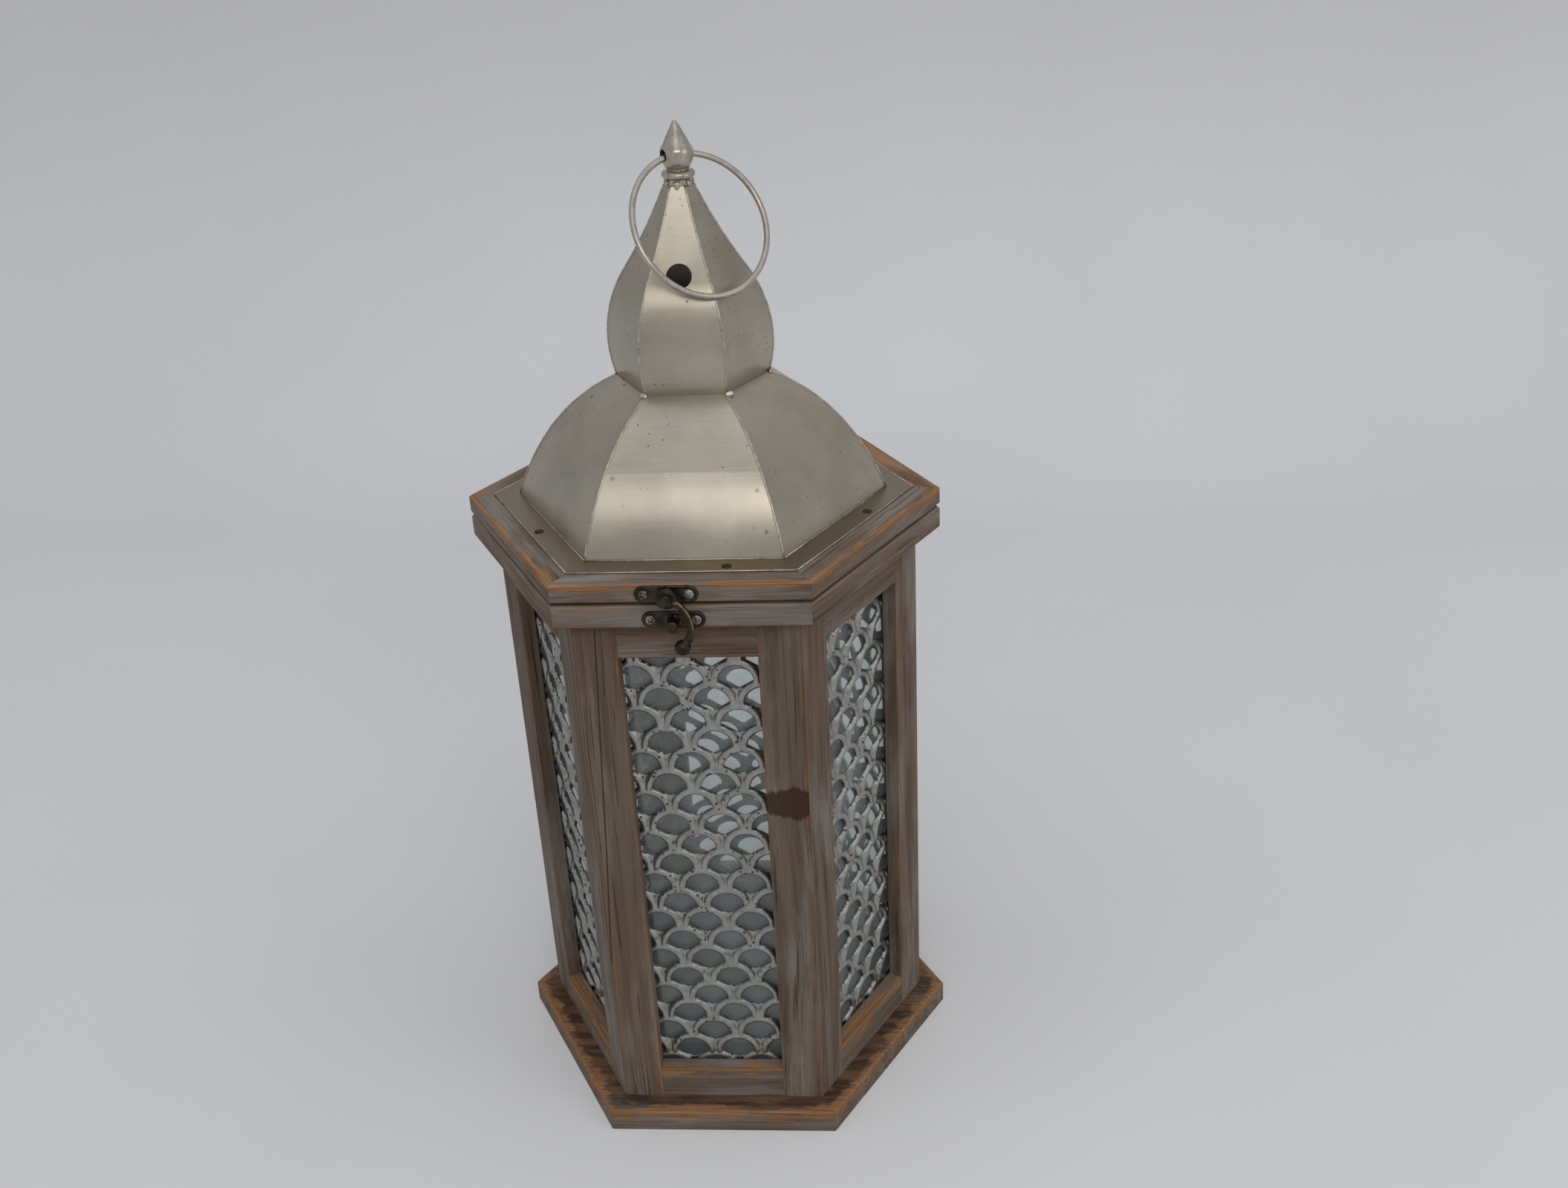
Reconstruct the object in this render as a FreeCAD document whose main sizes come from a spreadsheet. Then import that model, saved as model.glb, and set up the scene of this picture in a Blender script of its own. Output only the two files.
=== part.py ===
"""Six-sided wooden candle lantern with scallop grilles and a hinged sheet-metal roof.

Millimetres, +Z up.  The origin is the middle of the base board's underside.  Side 1 of
the hexagon faces -Y and the sides count anticlockwise seen from above, so side 4, which
carries the hinges, faces +Y.  The corners of the hexagon lie on the X axis and every
60 degrees round from it.
"""
import FreeCAD, Part
import math
import os
import Sketcher

Vector = FreeCAD.Vector
Rotation = FreeCAD.Rotation
COS30 = math.cos(math.radians(30))
TAN30 = math.tan(math.radians(30))
SIDES = (1, 2, 3, 4, 5, 6)

# ---------------------------------------------------------------- sizes, in mm and degrees
SIZES = (
    ("base_radius", 140.0, "base board, centre to corner"),
    ("base_thickness", 15.1, "base board"),
    ("base_chamfer", 1.4, "worn top edge of the base board"),
    ("floor_thickness", 0.8, "sheet that lies on the floor inside"),
    ("floor_play", 0.7, "floor sheet to the frames round it"),
    ("body_radius", 123.9, "side frames, centre to outer corner"),
    ("body_height", 341.2, "side frames"),
    ("frame_depth", 14.0, "side frames, front to back"),
    ("stile_width", 24.0, "upright of a side frame, seen from outside"),
    ("top_rail_height", 24.8, "upper rail of a side frame"),
    ("bottom_rail_height", 22.1, "lower rail of a side frame"),
    ("lip_depth", 9.0, "frame in front of the grille"),
    ("rebate_width", 6.0, "rebate behind the lip, for grille and glass"),
    ("pane_play", 0.5, "edge of grille and glass to the rebate"),
    ("grille_thickness", 2.8, "pressed metal grille"),
    ("glass_thickness", 2.1, "pane behind the grille"),
    ("scale_pitch", 28.16, "one arch of the grille to the next in its row"),
    ("scale_hole_radius", 9.5, "arched head of each hole"),
    ("scale_hole_drop", 6.0, "pointed foot of each hole below its arch centre"),
    ("scale_shift", 9.8, "a column of holes, right of the side's middle"),
    ("scale_head_gap", 6.9, "first full row of crowns below the upper rail"),
    ("rim_radius", 138.2, "rim on the body and lid above it, centre to corner"),
    ("rim_thickness", 13.3, "rim boards"),
    ("rim_width", 28.0, "rim boards, outer to inner edge"),
    ("lid_thickness", 10.8, "lid boards"),
    ("lid_width", 34.0, "lid boards, outer to inner edge"),
    ("board_chamfer", 0.9, "worn outer edges of rim and lid boards"),
    ("sheet_thickness", 0.9, "sheet metal of the roof"),
    ("flange_radius", 123.1, "roof flange, centre to corner"),
    ("dome_foot_radius", 107.3, "dome where it leaves the flange"),
    ("dome_knuckle_radius", 84.0, "dome where it starts to flatten"),
    ("dome_knuckle_height", 42.6, "the same point, above the lid"),
    ("dome_height", 73.1, "dome and flange, above the lid"),
    ("dome_lower_bulge", 1.8, "rise of the lower curve over its chord"),
    ("dome_upper_bulge", 2.8, "rise of the upper curve over its chord"),
    ("neck_radius", 43.8, "open top of the dome"),
    ("onion_foot_radius", 43.3, "onion where it stands on the dome"),
    ("onion_shoulder_radius", 34.6, "onion where its belly ends"),
    ("onion_shoulder_height", 59.2, "the same point, above the neck"),
    ("onion_belly_bulge", 5.9, "rise of the belly over its chord"),
    ("onion_hollow_bulge", 1.1, "depth of the hollow curve above the belly"),
    ("onion_top_radius", 8.3, "onion under the collar"),
    ("onion_height", 105.7, "onion"),
    ("vent_radius", 6.9, "smoke hole in the front of the onion"),
    ("vent_height", 63.2, "middle of the smoke hole, above the neck"),
    ("collar_radius", 9.1, "collar under the finial"),
    ("collar_waist_radius", 7.4, "collar where it sits on the onion"),
    ("collar_lift", 3.8, "waist of the collar"),
    ("collar_thickness", 3.5, "bead of the collar"),
    ("collar_plug", 5.0, "depth of the collar's plug in the onion"),
    ("collar_play", 0.3, "plug to the onion's mouth"),
    ("finial_neck_radius", 6.0, "finial where it stands on the collar"),
    ("finial_neck_height", 1.2, "straight foot of the finial"),
    ("finial_belly_radius", 8.9, "finial at its widest"),
    ("finial_belly_height", 8.6, "widest point and cross hole"),
    ("finial_shoulder_radius", 8.0, "finial where its cone starts"),
    ("finial_shoulder_height", 12.4, "the same point"),
    ("finial_tip_radius", 1.2, "blunt tip"),
    ("finial_height", 25.7, "finial"),
    ("ring_hole_radius", 3.25, "cross hole for the ring"),
    ("ring_radius", 39.2, "ring, to the middle of its wire"),
    ("wire_radius", 1.65, "wire of the ring"),
    ("ring_drop", 0.4, "wire below the middle of the cross hole"),
    ("ring_yaw", 37.4, "degrees that the cross hole is turned from the front"),
    ("ring_lean", 30.4, "degrees that the hanging ring stands off the vertical"),
    ("plate_length", 33.8, "latch plates"),
    ("plate_height", 10.0, "latch plates"),
    ("plate_thickness", 1.2, "latch plates"),
    ("upper_plate_offset", -6.8, "upper latch plate, from the middle of the front"),
    ("lower_plate_offset", -3.9, "lower latch plate, from the middle of the front"),
    ("pivot_offset", 0.8, "arm's rivet, right of the upper plate's middle"),
    ("boss_radius", 4.2, "boss that carries the latch arm"),
    ("arm_standoff", 5.0, "wood to the back of the latch arm"),
    ("arm_thickness", 3.0, "latch arm"),
    ("arm_width", 4.2, "latch arm"),
    ("arm_eye_radius", 5.6, "latch arm round its rivet"),
    ("arm_bow_radius", 17.1, "curve of the latch arm, to its middle line"),
    ("arm_ball_radius", 4.3, "ball on the latch arm's end"),
    ("rivet_radius", 1.8, "rivet through the latch arm"),
    ("rivet_head_radius", 3.1, "head of the rivet"),
    ("rivet_head_height", 1.3, "head of the rivet"),
    ("pivot_play", 0.05, "rivet to the arm's eye, all round"),
    ("latch_play", 0.3, "arm to the boss and to the rivet's head"),
    ("catch_radius", 2.2, "stem of the catch knob"),
    ("catch_head_radius", 3.3, "head of the catch knob"),
    ("catch_head_height", 2.0, "head of the catch knob"),
    ("catch_reach", 10.2, "wood to the face of the catch knob"),
    ("hinge_spacing", 90.0, "middle of one hinge to the other"),
    ("hinge_length", 26.0, "hinges, along the edge"),
    ("leaf_depth", 15.0, "hinge leaf between the boards"),
    ("leaf_thickness", 0.8, "hinge leaf"),
    ("leaf_gap", 0.2, "between the closed leaves"),
    ("knuckle_radius", 2.0, "hinge barrel"),
    ("knuckle_length", 8.8, "middle knuckle, on the lid's leaf"),
    ("knuckle_play", 0.3, "knuckle to knuckle and barrel to wood"),
    ("pin_radius", 1.0, "hinge pin"),
    ("pin_play", 0.05, "pin to the middle knuckle, all round"),
)

doc = FreeCAD.newDocument("lantern")
sheet = doc.addObject("Spreadsheet::Sheet", "Sizes")
for row, (alias, number, note) in enumerate(SIZES, start=1):
    sheet.set("A%d" % row, note)
    sheet.set("B%d" % row, str(number))
    sheet.setAlias("B%d" % row, alias)
doc.recompute()


class Term:
    """A number together with the spreadsheet expression that gives it."""

    def __init__(self, value, text):
        self.value = float(value)
        self.text = text

    def __add__(self, other):
        other = term(other)
        return Term(self.value + other.value, "(%s + %s)" % (self.text, other.text))

    def __sub__(self, other):
        other = term(other)
        return Term(self.value - other.value, "(%s - %s)" % (self.text, other.text))

    def __mul__(self, other):
        other = term(other)
        return Term(self.value * other.value, "%s * %s" % (self.text, other.text))

    def __truediv__(self, other):
        other = term(other)
        return Term(self.value / other.value, "%s / (%s)" % (self.text, other.text))

    def __neg__(self):
        return Term(-self.value, "(0 - %s)" % self.text)


def term(number):
    """A plain number as a Term."""
    if isinstance(number, Term):
        return number
    return Term(number, "%.12g" % number if number >= 0 else "(0 - %.12g)" % -number)


def root(square):
    return Term(math.sqrt(square.value), "sqrt(%s)" % square.text)


def size(alias):
    """The named size as a Term bound to its cell."""
    return Term(sheet.get(alias), "Sizes." + alias)


def apothem(radius):
    """Centre to flat of a hexagon of the given corner radius."""
    return radius * COS30


# ---------------------------------------------------------------- modelling helpers
def bind(feature, prop, value):
    feature.setExpression(prop, term(value).text)


def new_body(label, lift=0.0, side=1, compound=False):
    """An empty body seated at height lift and turned to its side of the hexagon."""
    body = doc.addObject("PartDesign::Body", label)
    body.Label = label
    body.AllowCompound = compound
    turn = Rotation(Vector(0, 0, 1), 60.0 * (side - 1))
    body.Placement = FreeCAD.Placement(Vector(0, 0, term(lift).value), turn)
    bind(body, "Placement.Base.z", lift)
    return body


def origin_feature(body, role):
    return next(item for item in body.Origin.OriginFeatures if item.Role == role)


def new_sketch(body, role, name, offset=0.0):
    """A sketch on one of the body's own planes, moved along the plane's normal."""
    sketch = body.newObject("Sketcher::SketchObject", name)
    sketch.AttachmentSupport = [(origin_feature(body, role), "")]
    sketch.MapMode = "FlatFace"
    bind(sketch, "AttachmentOffset.Base.z", offset)
    return sketch


def dimension(sketch, kind, arguments, value):
    """Add one dimension and bind it to the sheet."""
    value = term(value)
    index = sketch.addConstraint(Sketcher.Constraint(kind, *arguments, value.value))
    bind(sketch, "Constraints[%d]" % index, value)


def arc_radius(start, end, bulge):
    """Radius of the arc that rises by bulge over the chord from start to end."""
    across = end[0] - start[0]
    along = end[1] - start[1]
    square = (across * across + along * along) / 4 + bulge * bulge
    return square / (bulge * 2)


def draw_edge(sketch, start, end, bulge):
    """A line, or an arc that rises to the right of the way from start to end."""
    first = Vector(start[0].value, start[1].value, 0)
    last = Vector(end[0].value, end[1].value, 0)
    if bulge is None:
        return sketch.addGeometry(Part.LineSegment(first, last), False), 1, 2
    chord = last - first
    right = Vector(chord.y, -chord.x, 0).normalize()
    radius = arc_radius(start, end, bulge)
    centre = (first + last) / 2 + right * (bulge.value - radius.value)
    angles = [math.atan2(p.y - centre.y, p.x - centre.x) for p in (first, last)]
    if bulge.value < 0:
        angles.reverse()
    circle = Part.Circle(centre, Vector(0, 0, 1), abs(radius.value))
    edge = sketch.addGeometry(Part.ArcOfCircle(circle, angles[0], angles[1]), False)
    if bulge.value < 0:
        dimension(sketch, "Radius", (edge,), -radius)
        return edge, 2, 1
    dimension(sketch, "Radius", (edge,), radius)
    return edge, 1, 2


def draw_loop(sketch, corners):
    """A closed outline with every corner dimensioned from the sketch's origin.

    A corner is (x, y), or (x, y, bulge) where an arc leads on to the next corner.
    """
    points = [(term(corner[0]), term(corner[1])) for corner in corners]
    bulges = [term(corner[2]) if len(corner) > 2 else None for corner in corners]
    edges = []
    for index, bulge in enumerate(bulges):
        following = points[(index + 1) % len(points)]
        edges.append(draw_edge(sketch, points[index], following, bulge))
    for index, (edge, start, end) in enumerate(edges):
        after, after_start, _ = edges[(index + 1) % len(edges)]
        joined = Sketcher.Constraint("Coincident", edge, end, after, after_start)
        sketch.addConstraint(joined)
        dimension(sketch, "DistanceX", (-1, 1, edge, start), points[index][0])
        dimension(sketch, "DistanceY", (-1, 1, edge, start), points[index][1])


def draw_circle(sketch, x, y, radius):
    x, y, radius = term(x), term(y), term(radius)
    circle = Part.Circle(Vector(x.value, y.value, 0), Vector(0, 0, 1), radius.value)
    edge = sketch.addGeometry(circle, False)
    dimension(sketch, "Radius", (edge,), radius)
    dimension(sketch, "DistanceX", (-1, 1, edge, 3), x)
    dimension(sketch, "DistanceY", (-1, 1, edge, 3), y)


def pad(body, sketch, length, symmetric=False):
    feature = body.newObject("PartDesign::Pad", sketch.Name + "_pad")
    feature.Profile = sketch
    feature.SideType = "Symmetric" if symmetric else "One side"
    bind(feature, "Length", length)
    body.Tip = feature
    return feature


def pocket(body, sketch, symmetric=True):
    """Cut the sketch right through the body."""
    feature = body.newObject("PartDesign::Pocket", sketch.Name + "_pocket")
    feature.Profile = sketch
    feature.SideType = "Symmetric" if symmetric else "One side"
    feature.Type = "ThroughAll"
    body.Tip = feature
    return feature


def pad_loop(body, role, name, corners, length, offset=0.0, symmetric=False):
    sketch = new_sketch(body, role, name, offset)
    draw_loop(sketch, corners)
    return pad(body, sketch, length, symmetric)


def pad_disc(body, role, name, centre, radius, length, offset=0.0, bore=None):
    sketch = new_sketch(body, role, name, offset)
    draw_circle(sketch, centre[0], centre[1], radius)
    if bore is not None:
        draw_circle(sketch, centre[0], centre[1], bore)
    return pad(body, sketch, length)


def revolve(body, name, corners):
    """Turn a profile of (radius, height) corners about the vertical axis."""
    sketch = new_sketch(body, "XZ_Plane", name)
    draw_loop(sketch, corners)
    feature = body.newObject("PartDesign::Revolution", name + "_turned")
    feature.Profile = sketch
    feature.ReferenceAxis = (sketch, ["V_Axis"])
    body.Tip = feature
    return feature


def ring_of_six(body, feature):
    """Repeat the whole body round the vertical axis, one copy for each side."""
    pattern = body.newObject("PartDesign::PolarPattern", body.Name + "_ring")
    pattern.Originals = [feature]
    pattern.TransformMode = "Whole shape"
    pattern.Axis = (origin_feature(body, "Z_Axis"), [""])
    pattern.Angle = 360
    pattern.Occurrences = len(SIDES)
    body.Tip = pattern
    return pattern


def hexagon(radius):
    """Corners of a hexagon, the first on +X."""
    half = radius / 2
    flat = apothem(radius)
    return [(radius, 0.0), (half, flat), (-half, flat), (-radius, 0.0), (-half, -flat),
            (half, -flat)]


def rectangle(left, right, low, high):
    return [(left, low), (right, low), (right, high), (left, high)]


def mirrored(corners):
    return [(-term(x), y) for x, y in reversed(corners)]


# ---------------------------------------------------------------- levels and shared places
base_top = size("base_thickness")
body_top = base_top + size("body_height")
rim_top = body_top + size("rim_thickness")
lid_bottom = rim_top + size("leaf_thickness") * 2 + size("leaf_gap")
lid_top = lid_bottom + size("lid_thickness")
neck_level = lid_top + size("dome_height")
onion_top = neck_level + size("onion_height")
collar_top = onion_top + size("collar_lift") + size("collar_thickness")
ring_level = collar_top + size("finial_belly_height")

body_flat = apothem(size("body_radius"))
side_half = size("body_radius") / 2
opening_half = side_half - size("stile_width")
rebate_half = opening_half + size("rebate_width")
pane_half = rebate_half - size("pane_play")
opening_low = size("bottom_rail_height")
opening_high = size("body_height") - size("top_rail_height")
pane_low = opening_low - size("rebate_width") + size("pane_play")
pane_high = opening_high + size("rebate_width") - size("pane_play")
rim_flat = apothem(size("rim_radius"))

# ---------------------------------------------------------------- base and floor
base = new_body("base_board")
slab = pad_loop(base, "XY_Plane", "base_outline", hexagon(size("base_radius")), base_top)
doc.recompute()
worn = base.newObject("PartDesign::Chamfer", "base_worn_edge")
top_edges = ["Edge%d" % (number + 1) for number, edge in enumerate(slab.Shape.Edges)
             if edge.BoundBox.ZMin > base_top.value - 0.01]
worn.Base = (slab, top_edges)
bind(worn, "Size", size("base_chamfer"))
base.Tip = worn

floor = new_body("floor_sheet", base_top)
floor_radius = (body_flat - size("frame_depth") - size("floor_play")) / COS30
pad_loop(floor, "XY_Plane", "floor_outline", hexagon(floor_radius), size("floor_thickness"))

# ---------------------------------------------------------------- side frames
front = -body_flat
lip_back = front + size("lip_depth")
frame_back = front + size("frame_depth")
stile_corners = [(opening_half, front),
                 (side_half, front),
                 (side_half - size("frame_depth") * TAN30, frame_back),
                 (rebate_half, frame_back),
                 (rebate_half, lip_back),
                 (opening_half, lip_back)]
lip_plan = rectangle(-opening_half, opening_half, front, lip_back)
backing_plan = rectangle(-rebate_half, rebate_half, lip_back, frame_back)

for side in SIDES:
    stile = new_body("stile_right_%d" % side, base_top, side)
    pad_loop(stile, "XY_Plane", "right_section_%d" % side, stile_corners,
             size("body_height"))
    stile = new_body("stile_left_%d" % side, base_top, side)
    pad_loop(stile, "XY_Plane", "left_section_%d" % side, mirrored(stile_corners),
             size("body_height"))

    # Each rail has a long shoulder behind the rebate and a short one in front of it.
    rail = new_body("bottom_rail_%d" % side, base_top, side)
    pad_loop(rail, "XY_Plane", "sill_lip_%d" % side, lip_plan, opening_low)
    pad_loop(rail, "XY_Plane", "sill_backing_%d" % side, backing_plan,
             opening_low - size("rebate_width"))
    rail = new_body("top_rail_%d" % side, base_top + opening_high, side)
    pad_loop(rail, "XY_Plane", "head_lip_%d" % side, lip_plan, size("top_rail_height"))
    pad_loop(rail, "XY_Plane", "head_backing_%d" % side, backing_plan,
             size("top_rail_height") - size("rebate_width"), size("rebate_width"))

# ---------------------------------------------------------------- grilles and glass
# Rows of arches overlap like fish scales: each row stands half an arch along from the
# row above and half an arch's pitch below it.  Under every arch is one hole, with an
# arched head and a pointed foot where the two arches below meet.
half_pitch = size("scale_pitch") / 2
first_centre = opening_high - size("scale_head_gap")
ROWS_OF_EACH_KIND = 11
ARCHES_IN_A_ROW = 3
COS45 = math.cos(math.radians(45))


def scale_hole(x, z):
    head = size("scale_hole_radius")
    return [(x, z - size("scale_hole_drop")),
            (x + head, z),
            (x + head * COS45, z + head * COS45),
            (x, z + head),
            (x - head * COS45, z + head * COS45),
            (x - head, z)]


def make_grille(side):
    grille = new_body("grille_%d" % side, base_top, side)
    back = body_flat - size("lip_depth") - size("grille_thickness")
    outline = rectangle(-pane_half, pane_half, pane_low, pane_high)
    blank = pad_loop(grille, "XZ_Plane", "grille_blank_%d" % side, outline,
                     size("grille_thickness"), back)
    holes = new_sketch(grille, "XZ_Plane", "grille_holes_%d" % side, back)
    left = size("scale_shift") - size("scale_pitch")
    draw_loop(holes, scale_hole(left, first_centre))
    draw_loop(holes, scale_hole(left - half_pitch, first_centre - half_pitch))
    cut = pocket(grille, holes)
    doc.recompute()
    if cut.Shape.Volume > blank.Shape.Volume - 1.0:
        raise RuntimeError("the holes of %s cut nothing" % grille.Label)
    pattern = grille.newObject("PartDesign::LinearPattern", "grille_rows_%d" % side)
    pattern.Originals = [cut]
    pattern.Direction = (origin_feature(grille, "X_Axis"), [""])
    pattern.Mode = "Spacing"
    bind(pattern, "Offset", size("scale_pitch"))
    pattern.Occurrences = ARCHES_IN_A_ROW
    pattern.Direction2 = (origin_feature(grille, "Z_Axis"), [""])
    pattern.Reversed2 = True
    pattern.Mode2 = "Spacing"
    bind(pattern, "Offset2", size("scale_pitch"))
    pattern.Occurrences2 = ROWS_OF_EACH_KIND
    grille.Tip = pattern


for side in SIDES:
    make_grille(side)
    glass = new_body("glass_%d" % side, base_top, side)
    inner_face = (body_flat - size("lip_depth") - size("grille_thickness")
                  - size("glass_thickness"))
    pad_loop(glass, "XZ_Plane", "glass_outline_%d" % side,
             rectangle(-pane_half, pane_half, pane_low, pane_high),
             size("glass_thickness"), inner_face)


# ---------------------------------------------------------------- rim and lid boards
def make_board(label, side, lift, radius, width, thickness):
    """One mitred board of a hexagonal frame, with its outer edges worn."""
    board = new_body(label, lift, side)
    outer = -apothem(radius)
    half = radius / 2
    inner_half = half - width * TAN30
    corners = [(-half, outer), (half, outer), (inner_half, outer + width),
               (-inner_half, outer + width)]
    blank = pad_loop(board, "XY_Plane", label + "_plan", corners, thickness)
    doc.recompute()
    edges = []
    for number, edge in enumerate(blank.Shape.Edges):
        box = edge.BoundBox
        if box.YMax < outer.value + 0.01 and box.XLength > 1.0:
            edges.append("Edge%d" % (number + 1))
    chamfer = board.newObject("PartDesign::Chamfer", label + "_worn")
    chamfer.Base = (blank, edges)
    bind(chamfer, "Size", size("board_chamfer"))
    board.Tip = chamfer


for side in SIDES:
    make_board("rim_board_%d" % side, side, body_top, size("rim_radius"),
               size("rim_width"), size("rim_thickness"))
    make_board("lid_board_%d" % side, side, lid_bottom, size("rim_radius"),
               size("lid_width"), size("lid_thickness"))


# ---------------------------------------------------------------- sheet-metal roof
def unit_normal(start, end):
    """Outward unit normal of the chord from start up to end."""
    across = start[0] - end[0]
    rise = end[1] - start[1]
    length = root(across * across + rise * rise)
    return rise / length, across / length


def shell_profile(foot, middle, top, lower_bulge, upper_bulge, foot_inside):
    """Section of a sheet through one facet, from its foot by its middle to its top."""
    thick = size("sheet_thickness")
    lower = unit_normal(foot, middle)
    upper = unit_normal(middle, top)
    inner_middle = (middle[0] - thick * (lower[0] + upper[0]) / 2,
                    middle[1] - thick * (lower[1] + upper[1]) / 2)
    inner_top = (top[0] - thick / upper[0], top[1])
    inner_foot = (foot[0] - thick / lower[0], foot_inside)
    return [(foot[0], foot[1], lower_bulge),
            (middle[0], middle[1], upper_bulge),
            (top[0], top[1]),
            (inner_top[0], inner_top[1], -upper_bulge),
            (inner_middle[0], inner_middle[1], -lower_bulge),
            inner_foot]


def make_gores(body, name, profile, reach):
    """Draw the profile along one side, mitre it between two ribs and repeat it."""
    straight = pad_loop(body, "YZ_Plane", name + "_section", profile, reach * 2,
                        symmetric=True)
    mitre = new_sketch(body, "XY_Plane", name + "_mitre")
    waste = [(0.0, 0.0), (reach * 2, 0.0), (reach * 2, reach * 2),
             (reach * 2 * TAN30, reach * 2)]
    draw_loop(mitre, waste)
    draw_loop(mitre, mirrored(waste))
    gore = pocket(body, mitre)
    doc.recompute()
    if gore.Shape.Volume > straight.Shape.Volume * 0.9:
        raise RuntimeError("the mitre of %s cut nothing" % body.Label)
    return ring_of_six(body, gore)


dome = new_body("dome_shell", lid_top)
flange_flat = apothem(size("flange_radius"))
dome_section = shell_profile(
    (apothem(size("dome_foot_radius")), size("sheet_thickness")),
    (apothem(size("dome_knuckle_radius")), size("dome_knuckle_height")),
    (apothem(size("neck_radius")), size("dome_height")),
    size("dome_lower_bulge"), size("dome_upper_bulge"), term(0.0))
dome_section = [(flange_flat, 0.0), (flange_flat, size("sheet_thickness"))] + dome_section
make_gores(dome, "dome", dome_section, size("flange_radius"))

onion = new_body("onion_shell", neck_level)
shoulder = (apothem(size("onion_shoulder_radius")), size("onion_shoulder_height"))
tip = (apothem(size("onion_top_radius")), size("onion_height"))
onion_section = shell_profile(
    (apothem(size("onion_foot_radius")), term(0.0)), shoulder, tip,
    size("onion_belly_bulge"), -size("onion_hollow_bulge"), term(0.0))
make_gores(onion, "onion", onion_section, size("onion_foot_radius") + size("neck_radius"))

# The smoke hole is punched square to the front facet.
doc.recompute()
solid_onion = onion.Shape.Volume
slope = unit_normal(shoulder, tip)
part_way = (size("vent_height") - shoulder[1]) / (tip[1] - shoulder[1])
vent_flat = shoulder[0] + (tip[0] - shoulder[0]) * part_way
punch = onion.newObject("PartDesign::SubtractiveCylinder", "onion_vent")
punch.AttachmentSupport = [(origin_feature(onion, "XY_Plane"), "")]
punch.MapMode = "FlatFace"
outward = Vector(0, -slope[0].value, slope[1].value)
punch_length = size("vent_radius") * 2
start = Vector(0, -vent_flat.value, size("vent_height").value) - outward * size("vent_radius").value
punch.AttachmentOffset = FreeCAD.Placement(start, Rotation(Vector(0, 0, 1), outward))
bind(punch, "Radius", size("vent_radius"))
bind(punch, "Height", punch_length)
onion.Tip = punch
doc.recompute()
if onion.Shape.Volume > solid_onion - 1.0:
    raise RuntimeError("the smoke hole cut nothing")

# ---------------------------------------------------------------- collar, finial and ring
mouth = apothem(size("onion_top_radius")) - size("sheet_thickness") / slope[0]
plug_radius = mouth - size("collar_play")
bead_low = size("collar_lift")
bead_high = size("collar_lift") + size("collar_thickness")
bead_round = size("collar_thickness") / 4
collar = new_body("finial_collar", onion_top)
revolve(collar, "collar_profile", [
    (0.0, -size("collar_plug")),
    (plug_radius, -size("collar_plug")),
    (plug_radius, 0.0),
    (size("collar_waist_radius"), 0.0),
    (size("collar_waist_radius"), bead_low),
    (size("collar_radius") - bead_round, bead_low),
    (size("collar_radius"), bead_low + bead_round),
    (size("collar_radius"), bead_high - bead_round),
    (size("collar_radius") - bead_round, bead_high),
    (0.0, bead_high)])

finial = new_body("finial", collar_top)
finial.Placement.Rotation = Rotation(Vector(0, 0, 1), size("ring_yaw").value)
turned = revolve(finial, "finial_profile", [
    (0.0, 0.0),
    (size("finial_neck_radius"), 0.0),
    (size("finial_neck_radius"), size("finial_neck_height"), 0.9),
    (size("finial_belly_radius"), size("finial_belly_height"), 0.35),
    (size("finial_shoulder_radius"), size("finial_shoulder_height")),
    (size("finial_tip_radius"), size("finial_height")),
    (0.0, size("finial_height"))])
bind(finial, "Placement.Base.z", collar_top)
cross = new_sketch(finial, "YZ_Plane", "finial_cross_hole")
draw_circle(cross, 0.0, size("finial_belly_height"), size("ring_hole_radius"))
pierced = pocket(finial, cross)
doc.recompute()
if pierced.Shape.Volume > turned.Shape.Volume - 1.0:
    raise RuntimeError("the cross hole cut nothing")

# The ring hangs through the cross hole and leans on the front of the onion.
yaw = math.radians(size("ring_yaw").value)
lean = math.radians(size("ring_lean").value)
hole_axis = Vector(math.cos(yaw), math.sin(yaw), 0)
forward = Vector(math.sin(yaw), -math.cos(yaw), 0)
hang = forward * math.sin(lean) - Vector(0, 0, 1) * math.cos(lean)
ring = doc.addObject("Part::Torus", "ring_handle")
ring.Label = "ring_handle"
bind(ring, "Radius1", size("ring_radius"))
bind(ring, "Radius2", size("wire_radius"))
ring_centre = Vector(0, 0, ring_level.value) + hang * (size("ring_radius") + size("ring_drop")).value
ring.Placement = FreeCAD.Placement(ring_centre, Rotation(Vector(0, 0, 1), hole_axis.cross(hang)))


# ---------------------------------------------------------------- swing-arm latch
def latch_plate(label, lift, face, centre_x):
    """A round-ended plate screwed flat on a board; face is how far out the wood is."""
    body = new_body(label, lift)
    straight = (size("plate_length") - size("plate_height")) / 2
    half = size("plate_height") / 2
    middle = rectangle(centre_x - straight, centre_x + straight, -half, half)
    pad_loop(body, "XZ_Plane", label + "_bar", middle, size("plate_thickness"), face)
    for end, centre in (("left", centre_x - straight), ("right", centre_x + straight)):
        pad_disc(body, "XZ_Plane", "%s_%s_end" % (label, end), (centre, 0.0), half,
                 size("plate_thickness"), face)
    return body


upper_level = lid_bottom + size("lid_thickness") / 2
lower_level = body_top + size("rim_thickness") / 2 - size("plate_thickness")
pivot_x = size("upper_plate_offset") + size("pivot_offset")
arm_back = size("arm_standoff")
arm_front = arm_back + size("arm_thickness")
head_back = arm_front + size("latch_play")

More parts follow.
